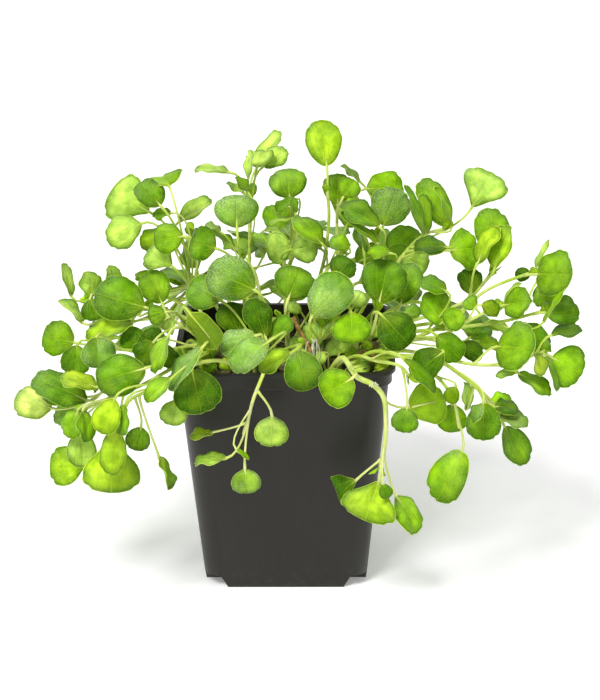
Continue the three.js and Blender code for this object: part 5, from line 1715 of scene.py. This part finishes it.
def makeRootlets():
    # thin white rootlets on the compost, and the curly ones on the stem that hangs in front
    draw = seededDraw(compostLook["seed"] + 3)
    runs = []
    spots, step, limit = rootletLook["spots"], rootletLook["step"], rootletLook["limit"]
    for i in range(rootletLook["count"]):
        x, y, around = draw(*rootletLook["x"]), draw(*rootletLook["y"]), draw(0, 6.28)
        places = []
        for k in range(spots):
            around += draw(*rootletLook["bend"])
            x = min(max(x + step * math.cos(around), -limit), limit)
            y = min(max(y + step * math.sin(around), -limit), limit)
            height = compostHeight(x, y) + rootletLook["lift"] + 0.5 * math.sin(k / (spots - 1) * math.pi)
            places.append(np.array((x, y, height)))
        runs.append((places, np.linspace(*rootletLook["radii"], spots)))
    for across, down, swing in rootletLook["curls"]:
        places = [onPicture(across + swing * math.sin(k / 1.6) * k / 8, down + 0.7 * k, 55 + 0.12 * k)
                  for k in range(spots)]
        runs.append((places, np.linspace(*rootletLook["curlRadii"], spots)))
    # a tuft of dry white strands in the middle of the clump
    for i in range(rootletLook["strands"]):
        across, down, swing, drop = [draw(*rootletLook["strand" + part])
                                     for part in ("Across", "Down", "Swing", "Drop")]
        places = [onPicture(across + swing * math.sin(k / 3), down + drop * k, 31 + 0.3 * k)
                  for k in range(spots)]
        runs.append((places, np.linspace(*rootletLook["strandRadii"], spots)))
    return drawTubes("rootlets", runs)


# The brown remains of stems that were cut back: picture points with their mm before the middle, and the radius
oldStems = (
    (((293, 317, 27), (298, 328, 28), (305, 340, 30), (311, 352, 32)), 0.9),
    (((236, 352, 36), (230, 346, 37), (222, 350, 38)), 0.8),
    (((352, 360, 34), (362, 352, 33), (374, 356, 35)), 0.7),
)


def makeOldStems():
    runs = []
    for points, radius in oldStems:
        path = ThroughPoints([onPicture(*point) for point in points])
        runs.append((path.spaced(14), radius * (1 + 0.18 * np.sin(np.arange(15) * 1.9))))
    return drawTubes("old_stems", runs)


def litterSkin(name, first, second, size):
    look = Finish(name)
    place = look.place()
    blots = look.noise(place, size, 4)
    colour = look.mix(look.fade(blots, 0.35, 0.68), linear(first), linear(second))
    look.set(Base_Color=colour, Normal=look.bump(blots, 0.2, 0.5), Roughness=0.6)
    return look.material


def oldLeafSkin():
    look = Finish("oldLeafSkin")
    place = look.place()
    tone = look.own("leafTone", "Color")
    spots = look.noise(place, 1.6, 4)
    colour = look.mix(look.fade(spots, 0.42, 0.6), tone, linear((52, 44, 18)))
    colour = look.mix(look.times(look.fade(look.noise(place, 3.5, 2), 0.5, 0.65), 0.6), colour,
                      linear((150, 158, 70)))
    look.set(Base_Color=colour, Normal=look.bump(spots, 0.25, 0.6), Roughness=0.55)
    return look.material


def dressCompost():
    master = makeBladeMaster()
    youngBlades, youngStalks = makeYoungShoots(master)
    parts = (
        (makeCompost(), compostEarth(), "soil"),
        (scatterCrumbs(), compostEarth(), "soil"),
        (makeMoss(), mossGreen(), "moss"),
        (makeOldLeaves(master), oldLeafSkin(), "litter"),
        (youngBlades, bpy.data.materials["leafSkin"], "leaf"),
        (youngStalks, bpy.data.materials["stemSkin"], "stem"),
        (makeRootlets(), litterSkin("rootletWhite", (196, 190, 160), (226, 222, 204), 1.5), "litter"),
        (makeOldStems(), litterSkin("oldStemBrown", (128, 92, 40), (172, 138, 66), 1.2), "litter"),
    )
    for piece, finish, slot in parts:
        dress(piece, finish, slot)
    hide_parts("soil")
    bpy.data.objects.remove(master)
    print("compost dressed")


dressCompost()


# The floor and the light of a bright studio
studio = {
    "floor": ((246, 246, 246), (250, 250, 250)),
    # the floor glows a little: painted light that lightens the shadows on it and lights the plant from below
    "floorGlow": 0.22,
    "floorSize": 150,
    "sky": 0.45,
    "key": {"from": (-0.4, -0.75, 1.05), "softness": 20, "power": 2.55},
    "fill": {"from": (0.8, -0.7, 0.5), "softness": 60, "power": 0.3},
    "rim": {"from": (0.2, 0.9, 0.9), "softness": 50, "power": 0.5},
}


def makeStudio():
    bpy.ops.mesh.primitive_plane_add(size=studio["floorSize"], location=(0, 0, 0))
    floor = bpy.context.active_object
    floor.name = "studioFloor"
    bpy.ops.object.transform_apply(location=True)
    look = Finish("paleFloor")
    darker, lighter = studio["floor"]
    colour = look.mix(look.noise(look.place(), 400, 1), linear(darker), linear(lighter))
    look.set(Base_Color=colour, Roughness=0.9, Emission_Color=(1, 1, 1, 1), Emission_Strength=studio["floorGlow"])
    floor.data.materials.append(look.material)
    for name in ("key", "fill", "rim"):
        lamp = studio[name]
        bpy.ops.object.light_add(type="SUN", location=lamp["from"])
        light = bpy.context.active_object
        light.name = name + "Light"
        light.data.angle = math.radians(lamp["softness"])
        light.data.energy = lamp["power"]
        light.rotation_euler = (-light.location).to_track_quat("-Z", "Y").to_euler()
    world = bpy.data.worlds.new("studioSky")
    world.use_nodes = True
    sky = world.node_tree.nodes["Background"]
    sky.inputs["Color"].default_value = (1, 1, 1, 1)
    sky.inputs["Strength"].default_value = studio["sky"]
    bpy.context.scene.world = world
    bpy.context.scene.view_settings.view_transform = "Standard"


makeStudio()
print("studio lit")

bpy.ops.object.select_all(action="DESELECT")
bpy.context.view_layer.update()
